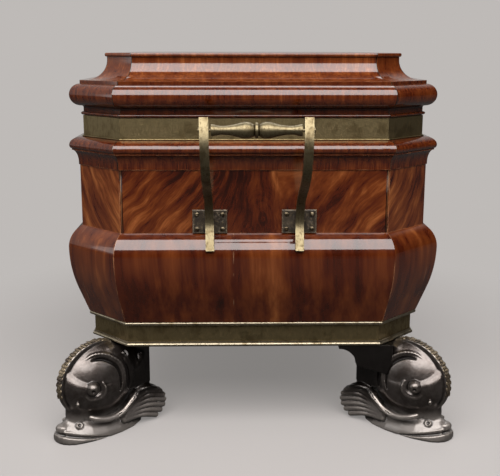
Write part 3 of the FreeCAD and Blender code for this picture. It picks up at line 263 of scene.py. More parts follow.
def lay_out_tarnish():
    """Old metal: clouds of tarnish, small marks and shallow dents."""
    bench, given, out = effect("tarnish", ["Size", "Marks"], ["Clouds", "Marks", "Dents"])
    place = bench.here()
    clouds = bench.noise(place, given["Size"], 6.0, 0.62, 0.4)
    marks = bench.noise(bench.vector("MULTIPLY", place, (1.0, 1.0, 0.35)), given["Marks"], 3.0, 0.7)
    bench.fill(out, Clouds=bench.between(clouds, 0.32, 0.68), Marks=bench.between(marks, 0.45, 0.7),
               Dents=bench.noise(place, bench.times(given["Size"], 4.0), 2.0, 0.5))
    return bench.tree


def lay_out_hollow_shade():
    """Painted shade: 1 deep in a hollow, where shade falls, and 0 in the open, from ambient occlusion."""
    bench, given, out = effect("painted shade in hollows", ["Reach"], ["Grime"])
    open_sky = bench.add("ShaderNodeAmbientOcclusion", {"Distance": given["Reach"]}, samples=4).outputs["AO"]
    bench.fill(out, Grime=bench.between(open_sky, 0.85, 0.25))
    return bench.tree


EIGHT_SIDES = lay_out_sides()
VENEER_FIGURE = lay_out_figure()
CROTCH_FIGURE = lay_out_crotch()
RUBBED_EDGES = lay_out_wear()
TARNISH = lay_out_tarnish()
HOLLOW_SHADE = lay_out_hollow_shade()


# ---- finishes ----
DARK_HEART = (0.014, 0.0018, 0.0003)
RED_BROWN = (0.048, 0.0068, 0.0011)
WARM_BROWN = (0.102, 0.0225, 0.0042)
ORANGE_FIGURE = (0.21, 0.064, 0.0155)
PALE_FIGURE = (0.34, 0.140, 0.048)
BARE_WOOD = (0.30, 0.14, 0.065)     # rubbed arrises
OLD_GLUE = (0.15, 0.075, 0.04)      # open joints of the bulge
END_JOINT = -0.0305                 # joint of the two veneers of a side, from its middle


def finish(name):
    """A new material: (material, bench, its shader's inputs)."""
    material = bpy.data.materials.new(name)
    bench = bench_of(material)
    shader = bench.add("ShaderNodeBsdfPrincipled")
    bench.add("ShaderNodeOutputMaterial", {"Surface": shader.outputs[0]})
    return material, bench, shader.inputs


def polish(bench, shader, coat=1.0, coat_roughness=0.06, specular=0.04):
    bench.fill(shader, Coat_IOR=1.58, Coat_Weight=coat, Coat_Roughness=coat_roughness,
               Specular_IOR_Level=specular)


def wood_colour(bench, figure):
    return bench.ramp(figure, (0.28, DARK_HEART), (0.43, RED_BROWN), (0.58, WARM_BROWN),
                      (0.74, ORANGE_FIGURE), (0.92, PALE_FIGURE))


def rub_edges(bench, colour, bare, width, patchiness):
    return bench.mix(bench.use(RUBBED_EDGES, Width=width, Patchiness=patchiness)["Wear"], colour, bare)


# painted shade in hollows, as a level from 0 to 1
def painted_hollow_shade(bench, reach):
    return bench.use(HOLLOW_SHADE, Reach=reach)["Grime"]


def marked_roughness(bench, old, low, high):
    return bench.between(old["Marks"], 0.0, 1.0, low, high)


def polish_panel(bench, shader, colour, lines, skin):
    """A polished panel of veneer, its arrises rubbed and its skin a little uneven."""
    polish(bench, shader)
    bench.fill(shader, Base_Color=rub_edges(bench, colour, BARE_WOOD, 0.0016, 45.0),
               Roughness=bench.between(lines, 0.3, 0.7, 0.34, 0.46), Normal=bench.relief(skin, 0.0003, 0.3))


def striped_mahogany():
    """Veneer of the bulge: soft upright stripes, with a joint near the middle of each side."""
    material, bench, shader = finish("striped mahogany, polished")
    sides = bench.use(EIGHT_SIDES)
    veneer = bench.use(VENEER_FIGURE, Place=sides["Place"], Lean=0.05, Streak=66.0, Stretch=0.035, Wave=0.006,
                       Fine=5.0)
    sway = bench.times(bench.math("SINE", bench.times(sides["Level"], 30.0)), 0.002)
    lights = bench.along_side(bench.plus(sides["Along"], sway),
                              (0.00, 0.25), (0.13, 0.05), (0.185, 0.42), (0.22, 0.04), (0.36, 0.40),
                              (0.40, 0.12), (0.52, 0.35), (0.565, 0.86), (0.60, 0.66), (0.64, 0.06),
                              (0.735, 0.42), (0.77, 0.05), (0.82, 0.48), (0.87, 0.08), (0.95, 0.55),
                              (1.00, 0.2))
    figure = bench.times(lights, 0.20, bench.times(veneer["Figure"], 0.66, 0.095))
    # painted light: the canted faces are made lighter, as they catch more light from the side
    figure = bench.times(sides["Canted"], 0.05, figure)
    joint = bench.between(bench.math("ABSOLUTE", bench.minus(sides["Along"], END_JOINT)), 0.0003, 0.0009)
    gaps = bench.between(bench.noise(sides["Place"], 40.0, 2.0), 0.5, 0.62)
    joint = bench.most(joint, bench.minus(1.0, gaps))
    skin = bench.times(veneer["Pores"], 0.25, bench.noise(sides["Place"], 45.0, 2.0))
    polish_panel(bench, shader, bench.mix(joint, OLD_GLUE, wood_colour(bench, figure)), veneer["Lines"], skin)
    return material


def flame_mahogany():
    """Crotch veneer of the frieze, brighter towards the right-hand corner of each panel."""
    material, bench, shader = finish("flame mahogany, polished")
    sides = bench.use(EIGHT_SIDES)
    crotch = bench.use(CROTCH_FIGURE, Along=sides["Along"], Level=sides["Level"], Place=sides["Place"])
    lift = bench.along_side(sides["Along"], (0.0, 0.08), (0.22, 0.085), (0.38, 0.035), (0.5, 0.02),
                            (0.62, 0.03), (0.75, 0.14), (1.0, 0.13))
    # painted light: the canted faces are made lighter, as they catch more light from the side
    lift = bench.minus(bench.times(sides["Canted"], 0.15, lift), 0.10)
    colour = wood_colour(bench, bench.plus(crotch["Figure"], lift))
    polish_panel(bench, shader, colour, crotch["Lines"], bench.noise(sides["Place"], 45.0, 2.0))
    return material


def crossbanded_mahogany(name, streak, lift):
    """Mouldings: short upright grain, a joint at each mitre, rubbed arrises and painted shade in the hollows.
    """
    material, bench, shader = finish(name)
    sides = bench.use(EIGHT_SIDES)
    grain = bench.use(VENEER_FIGURE, Place=sides["Place"], Lean=0.0, Streak=streak, Stretch=0.05, Wave=0.004,
                      Fine=4.0)
    figure = bench.times(grain["Lines"], 0.30, bench.times(grain["Figure"], 0.45, 0.125 + lift))
    mitre = bench.between(sides["Mitre"], 0.0004, 0.0010)
    colour = bench.mix(mitre, (0.012, 0.004, 0.002), wood_colour(bench, figure))
    colour = rub_edges(bench, colour, BARE_WOOD, 0.0012, 60.0)
    # painted shade: in the hollows the colour goes darker and the coat thinner
    hollow_shade = painted_hollow_shade(bench, 0.035)
    skin = bench.times(grain["Lines"], 0.5, bench.noise(sides["Place"], 70.0, 2.0))
    polish(bench, shader, bench.times(hollow_shade, -0.75, 1.0), 0.08)
    bench.fill(shader, Base_Color=bench.mix(bench.times(hollow_shade, 0.75), colour, (0.008, 0.0015, 0.0006)),
               Roughness=bench.between(grain["Lines"], 0.3, 0.7, 0.32, 0.46),
               Normal=bench.relief(skin, 0.0004, 0.4))
    return material


def plain_wood(name, dark, light, roughness=0.6):
    """Carcase and dividers: sawn and planed secondary wood without polish."""
    material, bench, shader = finish(name)
    turned = bench.add("ShaderNodeMapping", {"Vector": bench.here(), "Rotation": (0.0, math.pi / 2, 0.0)})
    grain = bench.use(VENEER_FIGURE, Place=turned.outputs[0], Lean=0.0, Streak=120.0, Stretch=0.05,
                      Wave=0.004, Fine=4.0)
    bench.fill(shader, Base_Color=bench.ramp(grain["Figure"], (0.3, dark), (0.7, light)),
               Roughness=bench.between(grain["Lines"], 0.3, 0.7, roughness, roughness + 0.15),
               Normal=bench.relief(grain["Lines"], 0.0003, 0.5))
    return material


def line_wood(name, light, dark):
    """Stringing: a thin line of one plain wood under the polish."""
    material, bench, shader = finish(name)
    grain = bench.noise(bench.vector("MULTIPLY", bench.here(), (1.0, 1.0, 0.2)), 160.0, 3.0)
    polish(bench, shader, 0.3)
    bench.fill(shader, Base_Color=bench.ramp(grain, (0.35, dark), (0.62, light)),
               Roughness=bench.between(grain, 0.3, 0.7, 0.3, 0.42), Normal=bench.relief(grain, 0.0002, 0.3))
    return material


def old_metal(name, size, marks, colour, roughness, dent, strength=0.4, metallic=1.0, scratched=0.0):
    """Worn metal, whose colour is laid from the bench and its tarnish."""
    material, bench, shader = finish(name)
    old = bench.use(TARNISH, Size=size, Marks=marks)
    uneven = bench.times(old["Marks"], -scratched, old["Dents"])
    bench.fill(shader, Base_Color=colour(bench, old), Metallic=metallic,
               Roughness=marked_roughness(bench, old, *roughness),
               Normal=bench.relief(uneven, dent, strength))
    return material


def brass(name, clean, dull, dark, roughness, marks=420.0, tarnished=0.5, rubbed=None):
    """Brass from bright to brown: clouds of tarnish, small marks and rubbed edges."""
    def colour(bench, old):
        metal = bench.mix(bench.between(old["Clouds"], 1.0 - tarnished, 1.0), clean, dull)
        metal = bench.mix(bench.times(old["Marks"], 0.55), metal, dark)
        if rubbed:
            metal = rub_edges(bench, metal, rubbed, 0.0009, 120.0)
        # painted shade: the metal goes dark in its hollows
        return bench.mix(painted_hollow_shade(bench, 0.004), metal, dark)
    return old_metal(name, 38.0, marks, colour, (roughness, roughness + 0.18), 0.0004, 0.5, scratched=0.2)


def steel(name, bright, dark, roughness):
    return old_metal(name, 120.0, 1200.0, lambda bench, old: bench.mix(old["Clouds"], bright, dark),
                     (roughness, roughness + 0.25), 0.0002)


def lead_colour(bench, old):
    """Dull grey with pale bloom and water marks."""
    return bench.ramp(old["Clouds"], (0.0, (0.13, 0.135, 0.14)), (0.6, (0.24, 0.245, 0.25)),
                      (1.0, (0.38, 0.38, 0.37)))


def gilt_colour(bench, old):
    """Old gilding, rubbed bright on top, with painted shade between the scales."""
    colour = bench.mix(old["Clouds"], (0.26, 0.21, 0.14), (0.06, 0.045, 0.035))
    # painted shade between the scales
    return bench.mix(painted_hollow_shade(bench, 0.003), colour, (0.02, 0.015, 0.01))


def carved_bronze():
    """Dark bronzed carving: a sheen on high places, dust on the beak and fins, and painted shade in the
    hollows and on the neck.
    """
    material, bench, shader = finish("bronzed carving")
    old = bench.use(TARNISH, Size=60.0, Marks=700.0)
    # the first level is rubbed on ridges and painted shade in hollows; the second is dust, and painted shade
    # on the neck
    proud, dust_and_neck_shade = (bench.add("ShaderNodeAttribute", attribute_name=name).outputs["Fac"]
                   for name in ("worn", "dust_and_shade"))
    colour = bench.mix(old["Clouds"], (0.060, 0.048, 0.042), (0.115, 0.100, 0.092))
    colour = bench.mix(bench.between(dust_and_neck_shade, 0.55, 1.0), colour, (0.160, 0.145, 0.134))
    rubbed = bench.times(bench.between(proud, 0.15, 0.9), marked_roughness(bench, old, 0.6, 0.2))
    colour = bench.mix(rubbed, colour, (0.30, 0.27, 0.24))
    # painted shade: the colour goes near black on the neck, in hollows and in creases
    dark = bench.most(bench.between(dust_and_neck_shade, 0.45, 0.0), painted_hollow_shade(bench, 0.008))
    dark = bench.most(dark, bench.between(proud, -0.1, -0.7))
    polish(bench, shader, 0.6, 0.16, 0.2)
    bench.fill(shader, Base_Color=bench.mix(bench.times(dark, 0.88), colour, (0.008, 0.006, 0.005)),
               Metallic=bench.between(dust_and_neck_shade, 0.5, 1.0, 0.9, 0.45),
               Roughness=marked_roughness(bench, old, 0.30, 0.42),
               Normal=bench.relief(bench.times(old["Marks"], -0.3, old["Dents"]), 0.0004, 0.4))
    return material


def plate_bronze():
    """Backplates: near-black bronze, scaly from wear, with bright rubbed edges and marks."""
    material, bench, shader = finish("handle plate bronze, worn")
    old = bench.use(TARNISH, Size=90.0, Marks=520.0)
    flakes = bench.between(bench.noise(bench.here(), 330.0, 5.0, 0.7), 0.52, 0.66)
    wear = bench.use(RUBBED_EDGES, Width=0.0014, Patchiness=150.0)["Wear"]
    colour = bench.mix(old["Clouds"], (0.014, 0.010, 0.007), (0.045, 0.034, 0.022))
    colour = bench.mix(bench.times(flakes, 0.55), colour, (0.20, 0.15, 0.085))
    bench.fill(shader, Base_Color=bench.mix(wear, colour, (0.62, 0.52, 0.36)),
               Metallic=bench.most(wear, bench.times(flakes, 0.8)),
               Roughness=marked_roughness(bench, old, 0.3, 0.5),
               Normal=bench.relief(bench.plus(flakes, old["Dents"]), 0.0005, 0.6))
    return material


FINISHES = {
    "striped_mahogany": striped_mahogany(),
    "flame_mahogany": flame_mahogany(),
    "crossbanded_mahogany": crossbanded_mahogany("crossbanded mahogany, polished", 150.0, -0.03),
    "lid_mahogany": crossbanded_mahogany("lid mahogany, polished", 90.0, 0.05),
    "carcase_wood": plain_wood("carcase wood", (0.16, 0.085, 0.038), (0.36, 0.22, 0.11)),
    "divider_wood": plain_wood("divider wood", (0.10, 0.038, 0.016), (0.22, 0.10, 0.045), 0.5),
    "pale_stringing": line_wood("pale stringing", (0.15, 0.085, 0.042), (0.05, 0.024, 0.010)),
    "dark_stringing": line_wood("dark stringing", (0.010, 0.006, 0.004), (0.006, 0.003, 0.002)),
    "lead": old_metal("sheet lead, dull", 16.0, 160.0, lead_colour, (0.48, 0.7), 0.0012, 0.5, metallic=0.75),
    "dull_brass": brass("brass band, dull", (0.205, 0.162, 0.083), (0.14, 0.107, 0.052),
                        (0.08, 0.055, 0.025), 0.42, marks=300.0),
    "bright_brass": brass("brass bead, bright", (0.34, 0.30, 0.22), (0.20, 0.165, 0.105),
                          (0.07, 0.05, 0.025), 0.34, tarnished=0.35),
    "handle_brass": brass("handle brass, handled", (0.180, 0.150, 0.088), (0.115, 0.09, 0.048),
                          (0.05, 0.031, 0.014), 0.40, tarnished=0.45, rubbed=(0.30, 0.26, 0.165)),
    "plate_screws": brass("plate screws, rubbed brass", (0.16, 0.13, 0.085), (0.07, 0.052, 0.03),
                          (0.03, 0.02, 0.01), 0.28),
    "hinge_brass": brass("hinge brass", (0.66, 0.50, 0.25), (0.42, 0.29, 0.12), (0.12, 0.07, 0.03), 0.3),
    "dark_bronze": plate_bronze(),
    "bronzed_carving": carved_bronze(),
    "crest_scales": old_metal("crest scales, rubbed gilding", 55.0, 900.0, gilt_colour, (0.28, 0.45), 0.0003,
                              metallic=0.75),
    "screw_steel": steel("screw steel", (0.32, 0.30, 0.28), (0.10, 0.07, 0.05), 0.35),
    "key_steel": steel("key steel", (0.42, 0.41, 0.40), (0.16, 0.13, 0.11), 0.3),
}


def dress_case():
    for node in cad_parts.values():
        for slot in node.material_slots:
            slot.material = FINISHES[slot.material.name.split(".")[0]]


# ---- carved feet, in millimetres: out along the corner, across, up ----
FAR_OUTSIDE = 20.0                # depth of an empty block
MARGIN = 4.0                      # worked round each shape


class Block:
    """A block that shapes are added to and cut from: distances to the carved surface."""

    def __init__(self, low, high, grain):
        self.low, self.grain = np.array(low, float), grain
        self.count = [int(round((b - a) / grain)) + 1 for a, b in zip(low, high)]
        self.axes = [low[k] + grain * np.arange(self.count[k]) for k in range(3)]
        self.depth = np.full(self.count, FAR_OUTSIDE, np.float32)

    def part(self, low, high):
        """Slices of the block that cover a box, and the places in it."""
        cut = []
        for k in range(3):
            first = max(0, int(math.floor((low[k] - self.low[k]) / self.grain)))
            last = min(self.count[k], int(math.ceil((high[k] - self.low[k]) / self.grain)) + 1)
            cut.append(slice(first, max(first, last)))
        grid = np.meshgrid(*(self.axes[k][cut[k]] for k in range(3)), indexing="ij")
        return tuple(cut), np.stack(grid, -1).astype(np.float32)

    def work(self, shape, low, high, blend=2.0, cut=False):
        """Adds a shape, or cuts it away, with a soft joint as wide as blend."""
        reach = blend + MARGIN
        where, places = self.part([v - reach for v in low], [v + reach for v in high])
        if not places.size:
            return
        here, new = self.depth[where], shape(places)
        if cut:
            here = -here
        share = np.clip(0.5 + 0.5 * (here - new) / blend, 0, 1)
        mixed = here * (1 - share) + new * share - blend * share * (1 - share)
        self.depth[where] = -mixed if cut else mixed

    def side_at(self, out, up, hand):
        """How far out to one side the carved surface is."""
        i = int(np.clip(round((out - self.low[0]) / self.grain), 0, self.count[0] - 1))
        k = int(np.clip(round((up - self.low[2]) / self.grain), 0, self.count[2] - 1))
        solid = np.nonzero(self.depth[i, :, k] < 0)[0]
        return self.axes[1][solid[-1] if hand > 0 else solid[0]] if len(solid) else 0.0

    def rods(self, line, blend, cut, flat=(1.0, 1.0, 1.0)):
        for a, b in zip(line, line[1:]):
            self.work(*rod(a[:3], b[:3], a[3], b[3], flat), blend=blend, cut=cut)

    def string(self, points, blend=1.5, cut=False, flat=(1.0, 1.0, 1.0)):
        """A tapering bead, or a groove, through points that carry their radius last."""
        self.rods(smooth_line(points, 5), blend, cut, flat)

    def cheek_string(self, points, sink, blend=1.5, cut=False):
        """A bead or groove that lies on both cheeks; points are (out, up, radius)."""
        for hand in HANDS:
            path = smooth_line(points, 3)
            sides = np.pad([abs(self.side_at(s, z, hand)) for s, z, _ in path], 2, "edge")
            sides = np.convolve(sides, np.ones(5) / 5, "valid")
            line = [(s, hand * (side - sink), z, r) for (s, z, r), side in zip(path, sides)]
            self.rods(line, blend, cut)


def ball(centre, radii):
    centre, radii = np.array(centre, np.float32), np.array(radii, np.float32)

    def shape(places):
        offset = places - centre
        first = np.linalg.norm(offset / radii, axis=-1)
        second = np.linalg.norm(offset / radii ** 2, axis=-1)
        return first * (first - 1.0) / np.maximum(second, 1e-6)
    return shape, centre - radii, centre + radii


def rod(start, end, thick_start, thick_end, flat=(1.0, 1.0, 1.0)):
    start, end, flat = (np.array(v, np.float32) for v in (start, end, flat))

    def shape(places):
        along = end - start
        offset = places - start
        share = np.clip((offset @ along) / max(float(along @ along), 1e-6), 0, 1)
        away = (offset - share[..., None] * along) / flat
        return np.linalg.norm(away, axis=-1) - (thick_start + (thick_end - thick_start) * share)
    most = max(thick_start, thick_end) * flat.max()
    return shape, np.minimum(start, end) - most, np.maximum(start, end) + most


def slab(low, high, rounding):
    low, high = np.array(low, np.float32), np.array(high, np.float32)
    middle, half = (low + high) / 2, (high - low) / 2 - rounding

    def shape(places):
        away = np.abs(places - middle) - half
        return np.linalg.norm(np.maximum(away, 0), axis=-1) + np.minimum(away.max(-1), 0) - rounding
    return shape, low, high


def loft(stations, fullness):
    """A long form through stations of (out, half width, lower level, upper level)."""
    s, width, low, high = np.array(stations, np.float32).T
    middle, half = (low + high) / 2, (high - low) / 2

    def shape(places):
        out = places[..., 0]
        wide, tall = np.interp(out, s, width), np.interp(out, s, half)
        side = np.abs(places[..., 1]) / wide
        rise = np.abs(places[..., 2] - np.interp(out, s, middle)) / tall
        ring = (side ** fullness + rise ** fullness) ** (1 / fullness)
        return np.maximum((ring - 1) * np.minimum(wide, tall), np.maximum(s[0] - out, out - s[-1]))
    return shape, (s[0], -width.max(), low.min()), (s[-1], width.max(), high.max())


def pared(region, kept):
    """What lies in one shape and outside another, to be cut away."""
    shape, low, high = region
    return (lambda places: np.maximum(shape(places), -kept[0](places))), low, high


def crest_band(centre, radii, rise, half_width):
    """A band over the brow, along the middle of the head."""
    inner, low, high = ball(centre, [r + rise for r in radii])
    return ((lambda places: np.maximum(inner(places), np.abs(places[..., 1]) - half_width)),
            (low[0], -half_width, low[2]), (high[0], half_width, high[2]))


def smooth_line(points, steps):
    """Points along a curve through the given ones."""
    points = [np.array(p, float) for p in points]
    padded = [2 * points[0] - points[1]] + points + [2 * points[-1] - points[-2]]
    line = []
    for a, b, c, d in zip(padded, padded[1:], padded[2:], padded[3:]):
        for k in range(steps):
            t = k / steps
            line.append(0.5 * (2 * b + (c - a) * t + (2 * a - 5 * b + 4 * c - d) * t ** 2
                               + (3 * b - a - 3 * c + d) * t ** 3))
    return line + [points[-1]]


def skin(block):
    """The carved surface, a point in each cell that it crosses: (points, four-sided faces)."""
    field = block.depth
    inside = field < 0
    near = (0, 1)
    ends = [size - 1 for size in inside.shape]
    count = sum(inside[i:ends[0] + i, j:ends[1] + j, k:ends[2] + k].astype(int)
                for i in near for j in near for k in near)
    crossed = (count > 0) & (count < 8)
    index = np.full(crossed.shape, -1, np.int64)
    index[crossed] = np.arange(crossed.sum())
    cells = np.argwhere(crossed)
    total, hits = np.zeros((len(cells), 3)), np.zeros(len(cells))
    for axis in range(3):
        for p in near:
            for q in near:
                corner = np.zeros(3, int)
                corner[(axis + 1) % 3], corner[(axis + 2) % 3] = p, q
                far = corner.copy()
                far[axis] = 1
                a, b = field[tuple((cells + corner).T)], field[tuple((cells + far).T)]
                cross = (a < 0) != (b < 0)
                point = (cells + corner).astype(float)
                point[:, axis] += np.where(cross, a / np.where(cross, a - b, 1), 0)
                total += point * cross[:, None]
                hits += cross
    faces = []
    for axis in range(3):
        u, v = (axis + 1) % 3, (axis + 2) % 3
        change = inside != np.roll(inside, -1, axis)
        cut = [slice(1, end) for end in ends]
        cut[axis] = slice(0, ends[axis])
        start = np.ones(3, int)
        start[axis] = 0
        spots = np.argwhere(change[tuple(cut)]) + start
        ring = []
        for du, dv in ((-1, -1), (0, -1), (0, 0), (-1, 0)):
            spot = spots.copy()
            spot[:, u] += du
            spot[:, v] += dv
            ring.append(index[tuple(spot.T)])
        ring = np.stack(ring, -1)
        outward = inside[tuple(spots.T)]
        ring[~outward] = ring[~outward][:, ::-1]
        faces.append(ring)
    return block.low + block.grain * total / hits[:, None], np.concatenate(faces)


CARVING_GRAIN = 1.25
HEAD = (27.0, 0.0, 82.0)          # middle of the dolphin's head
HEAD_SIZE = (66.0, 37.0, 58.0)
FOOT_TOP = 134.9                  # under the base, for all that lies behind FOOT_FRONT
FOOT_FRONT = 1.5
NECK_TOP = 134.8
NECK_ROUNDING = 7
BROW_SLOPE = 150                  # radius of the hollow between brow and crest
CREST_RISE = 2.2
CREST_HALF_WIDTH = 6.2
EYE = (53.0, 79.0)                # out, up
BEAK_TIP = (96, 14.2)             # where the mouth turns round the tip
FIN_FLUTES = 7
FIN_HUB = (-36, 29)               # middle of the fan of flutes: out, up


def carve_jaws(block):
    """The beak: a roof-shaped form that narrows to its tip, with mouth, lips, nostrils and a knob."""
    block.work(*loft([(-50, 10, -14, 12), (-36, 27, -26, 21), (-15, 36, -32, 29), (10, 39, -33, 35),
                      (36, 39, -32, 37), (58, 36, -30, 37), (74, 31.5, -27, 34), (86, 26.5, -24, 30),
                      (94, 20.5, -19, 26.5), (99.5, 13.5, -12, 23), (102, 6, -4, 19)], 1.45), blend=9)
    block.work(*rod((44, 0, 44), (66, 0, 38), 27, 17, (1.0, 0.9, 1.0)), blend=8)
    block.work(*ball((94, 0, 22.5), (6.8, 9.5, 4.8)), blend=4)
    for hand in HANDS:
        block.work(*ball((74, hand * 17.5, 24), (5.6, 5.2, 4.8)), blend=1.2)
        block.work(*ball((74.5, hand * 21.0, 26.5), (3.4, 4.4, 3.4)), blend=0.6, cut=True)
    mouth = [(34, 1.0, 0.8), (48, 3.6, 1.3), (62, 6.2, 1.8), (76, 9.4, 2.2), (88, 12.4, 2.5),
             (*BEAK_TIP, 2.6)]
    block.cheek_string(mouth, 0.3, blend=0.8, cut=True)
    block.cheek_string([(s, z + r + 2.2, 1.3) for s, z, r in mouth[1:]], 0.5, blend=1.2)
    out, up = BEAK_TIP
    edge = abs(block.side_at(out, up, 1))
    block.string([(out, edge, up, 2.6), (100, edge * 0.55, 15, 2.6), (102, 0, 15.4, 2.6),
                  (100, -edge * 0.55, 15, 2.6), (out, -edge, up, 2.6)], blend=0.8, cut=True)


def carve_eyes(block):
    """Under each brow a round eye in a shallow socket, with its pupil and a thin ring behind it."""
    s, z = EYE
    ring = np.radians(np.arange(150, 331, 15))
    block.cheek_string([(s + 16 * math.cos(a), z + 15.5 * math.sin(a), 1.9) for a in ring], 0.0, blend=1.0)
    for hand in HANDS:
        out = abs(block.side_at(s, z, hand))
        block.work(*ball((s + 2, hand * (out + 5.0), z + 1.5), (13.8, 9.5, 13.2)), blend=2.0, cut=True)
        block.work(*ball((s + 2.5, hand * (out - 3.0), z + 2), (10.5, 10.8, 10.2)), blend=0.8)
        block.work(*ball((s + 7.6, hand * (out + 6.6), z + 0.5), (3.0, 3.4, 3.0)), blend=0.4, cut=True)
        block.work(*ball((79, hand * 23.5, 61), (3.0, 3.4, 3.8)), blend=2)


def carve_scrolls(block):
    """Ridges behind the eye, and the edge of the gill with a fine groove along it."""
    block.cheek_string([(4, 62, 1.2), (0, 76, 2.2), (-1, 92, 2.8), (3, 107, 3.0), (14, 118, 2.8),
                        (28, 125, 2.6), (43, 126, 2.0), (55, 121.5, 0.9)], 0.2)
    block.cheek_string([(10, 66, 1.2), (7, 79, 2.2), (7, 92, 2.6), (11, 104, 2.8), (20, 113, 2.8),
                        (31, 118.5, 2.6), (41, 119.5, 1.6), (48, 118.5, 0.4)], 0.9, cut=True)
    block.cheek_string([(-8, 58, 0.9), (-14, 72, 1.8), (-17, 88, 2.2), (-15, 104, 2.0), (-8, 119, 1.2)], 0.0)
    block.cheek_string([(-8, 64, 1.0), (-9, 78, 1.7), (-9, 95, 1.7), (-5, 111, 1.0)], 0.4, cut=True)
    for shift in (0.0, 10.0):
        block.cheek_string([(-26 - shift, 66, 0.6), (-29 - shift, 82, 1.2), (-29 - shift, 98, 1.3),
                            (-26 - shift, 112, 0.7)], 0.0, blend=1.0)
    gill = [(-32, 31, 60, 1.6), (-19, 36.5, 52, 2.6), (-8, 38.5, 44, 3.1), (5, 38.5, 34.5, 3.4),
            (20, 37.5, 29, 3.4), (36, 36, 28.5, 3.3), (49, 33, 31.5, 2.9), (56, 30, 34, 2), (61, 27, 37, 1)]
    for hand in HANDS:
        block.string([(s, hand * t, z, r) for s, t, z, r in gill], blend=4)
        block.string([(s + 0.4, hand * (t + 2.9), z + 1.6, 0.85) for s, t, z, r in gill[:5]], 0.5, True)
        block.string([(s, hand * (t - 0.6), z - 7.0, r * 0.85) for s, t, z, r in gill[2:-1]], 3, True)


def carve_fins(block):
    """A fan of flutes on each side, from the gill backwards."""
    for hand in HANDS:
        for share in (k / (FIN_FLUTES - 1) for k in range(FIN_FLUTES)):
            root = (-20 + 17 * share, 51 - 33 * share)
            angle = math.radians(124 + 114 * share)
            tip = (FIN_HUB[0] + 37 * math.cos(angle), FIN_HUB[1] + 25.5 * math.sin(angle))
            middle = ((root[0] + tip[0]) / 2, (root[1] + tip[1]) / 2 + 6.5 - 4.0 * share)
            line = [(root[0] + 5, hand * 34, root[1] - 2, 1.8), (middle[0], hand * 38.0, middle[1], 3.3),
                    (tip[0], hand * 38.5, tip[1], 4.3)]
            block.string(line, blend=0.7, flat=(1.0, 0.8, 1.0))
            block.string([(s, hand * 32, z, 5.5) for s, _, z, _ in line], blend=2)


def on_crest(angle, rise):
    """Out and up of a place on the middle line of the head, so far above it."""
    return (HEAD[0] + (HEAD_SIZE[0] + rise) * math.cos(angle),
            HEAD[2] + (HEAD_SIZE[2] + rise) * math.sin(angle))


def carve_head(grain):
    block = Block((-78, -50, -3.9), (110, 50, 146), grain)
    block.work(*ball(HEAD, HEAD_SIZE))
    for hand in HANDS:
        block.work(*ball((24, hand * 9, 64), (50, 26, 37)), blend=7)
    for back, front, half_width, blend in ((-54, -8, 33, 4), (-20, 20, 21, 6)):
        block.work(*slab((back, -half_width, 58), (front, half_width, NECK_TOP), NECK_ROUNDING), blend=blend)
    for hand in HANDS:
        slope = ball((2.5, -hand * 100.5, 42), (BROW_SLOPE,) * 3)
        above_brow = ball((38, hand * 46, 124), (80, 48, 36))
        block.work(*pared(above_brow, slope), blend=15, cut=True)
    carve_jaws(block)
    carve_eyes(block)
    carve_scrolls(block)
    carve_fins(block)
    block.work(*crest_band(HEAD, HEAD_SIZE, CREST_RISE, CREST_HALF_WIDTH), blend=1.2)
    edge = [on_crest(a, -0.3) for a in np.radians(np.arange(-28, 112, 14))]
    for hand in HANDS:
        block.string([(s, hand * 8.4, z, 2.0) for s, z in edge], blend=1.2, cut=True)
    # the foot stands flat on the ground and rises in front of the base
    s, z = block.axes[0][:, None, None], block.axes[2][None, None, :]
    block.depth = np.maximum(block.depth, -z).astype(np.float32)
    block.depth = np.maximum(block.depth, -np.maximum(s - FOOT_FRONT, FOOT_TOP - z)).astype(np.float32)
    return block


def evened(points, faces, rounds=1):
    """Each point moved to the middle of its neighbours, some rounds over."""
    ends = np.stack([faces.ravel(), np.roll(faces, -1, 1).ravel()])
    share = np.bincount(ends[0], minlength=len(points)).astype(float)[:, None]
    for _ in range(rounds):
        points = np.stack([np.bincount(ends[0], points[ends[1], axis], minlength=len(points))
                           for axis in range(3)], -1) / share
    return points


def bulge_out(points, faces):
    """How far each point stands proud of the surface round it, from -1 in a hollow to 1 on a ridge."""
    across = np.cross(points[faces[:, 2]] - points[faces[:, 0]], points[faces[:, 3]] - points[faces[:, 1]])
    normals = np.zeros_like(points)
    for corner in range(4):
        for axis in range(3):
            normals[:, axis] += np.bincount(faces[:, corner], across[:, axis], minlength=len(points))
    normals /= np.maximum(np.linalg.norm(normals, axis=1), 1e-9)[:, None]
    proud = ((points - evened(points, faces, 6)) * normals).sum(1)
    return np.clip(proud / (3.0 * proud.std()), -1, 1)


def smoothed(points, faces):
    """The carved points, evened out by half, and still flat on the ground."""
    even = points * 0.5 + evened(points, faces) * 0.5
    ground = points[:, 2] < 0.6
    even[ground, 2] = points[ground, 2]
    return even


def new_piece(name, mesh, finish_name, body="case", slot=None, replaces=()):
    piece = put(name.replace(" ", "_"), mesh)
    mesh.materials.clear()
    mesh.materials.append(FINISHES[finish_name])
    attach(piece, body)
    slot or finish_name
    if replaces:
        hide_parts(*replaces)


EAR_OUTLINE = [(10, 135), (92, 135), (92, 129)] + [
    (92 - 27 * math.sin(a), 102 + 27 * math.cos(a)) for a in np.radians(np.arange(0, 91, 9))] + [(10, 85)]
EAR_DEPTH = (11.0, 27.0)
EAR_ROUNDING = 1.2
EAR_TURN = math.radians(-135.0)   # from the corner's own direction to the end of the case


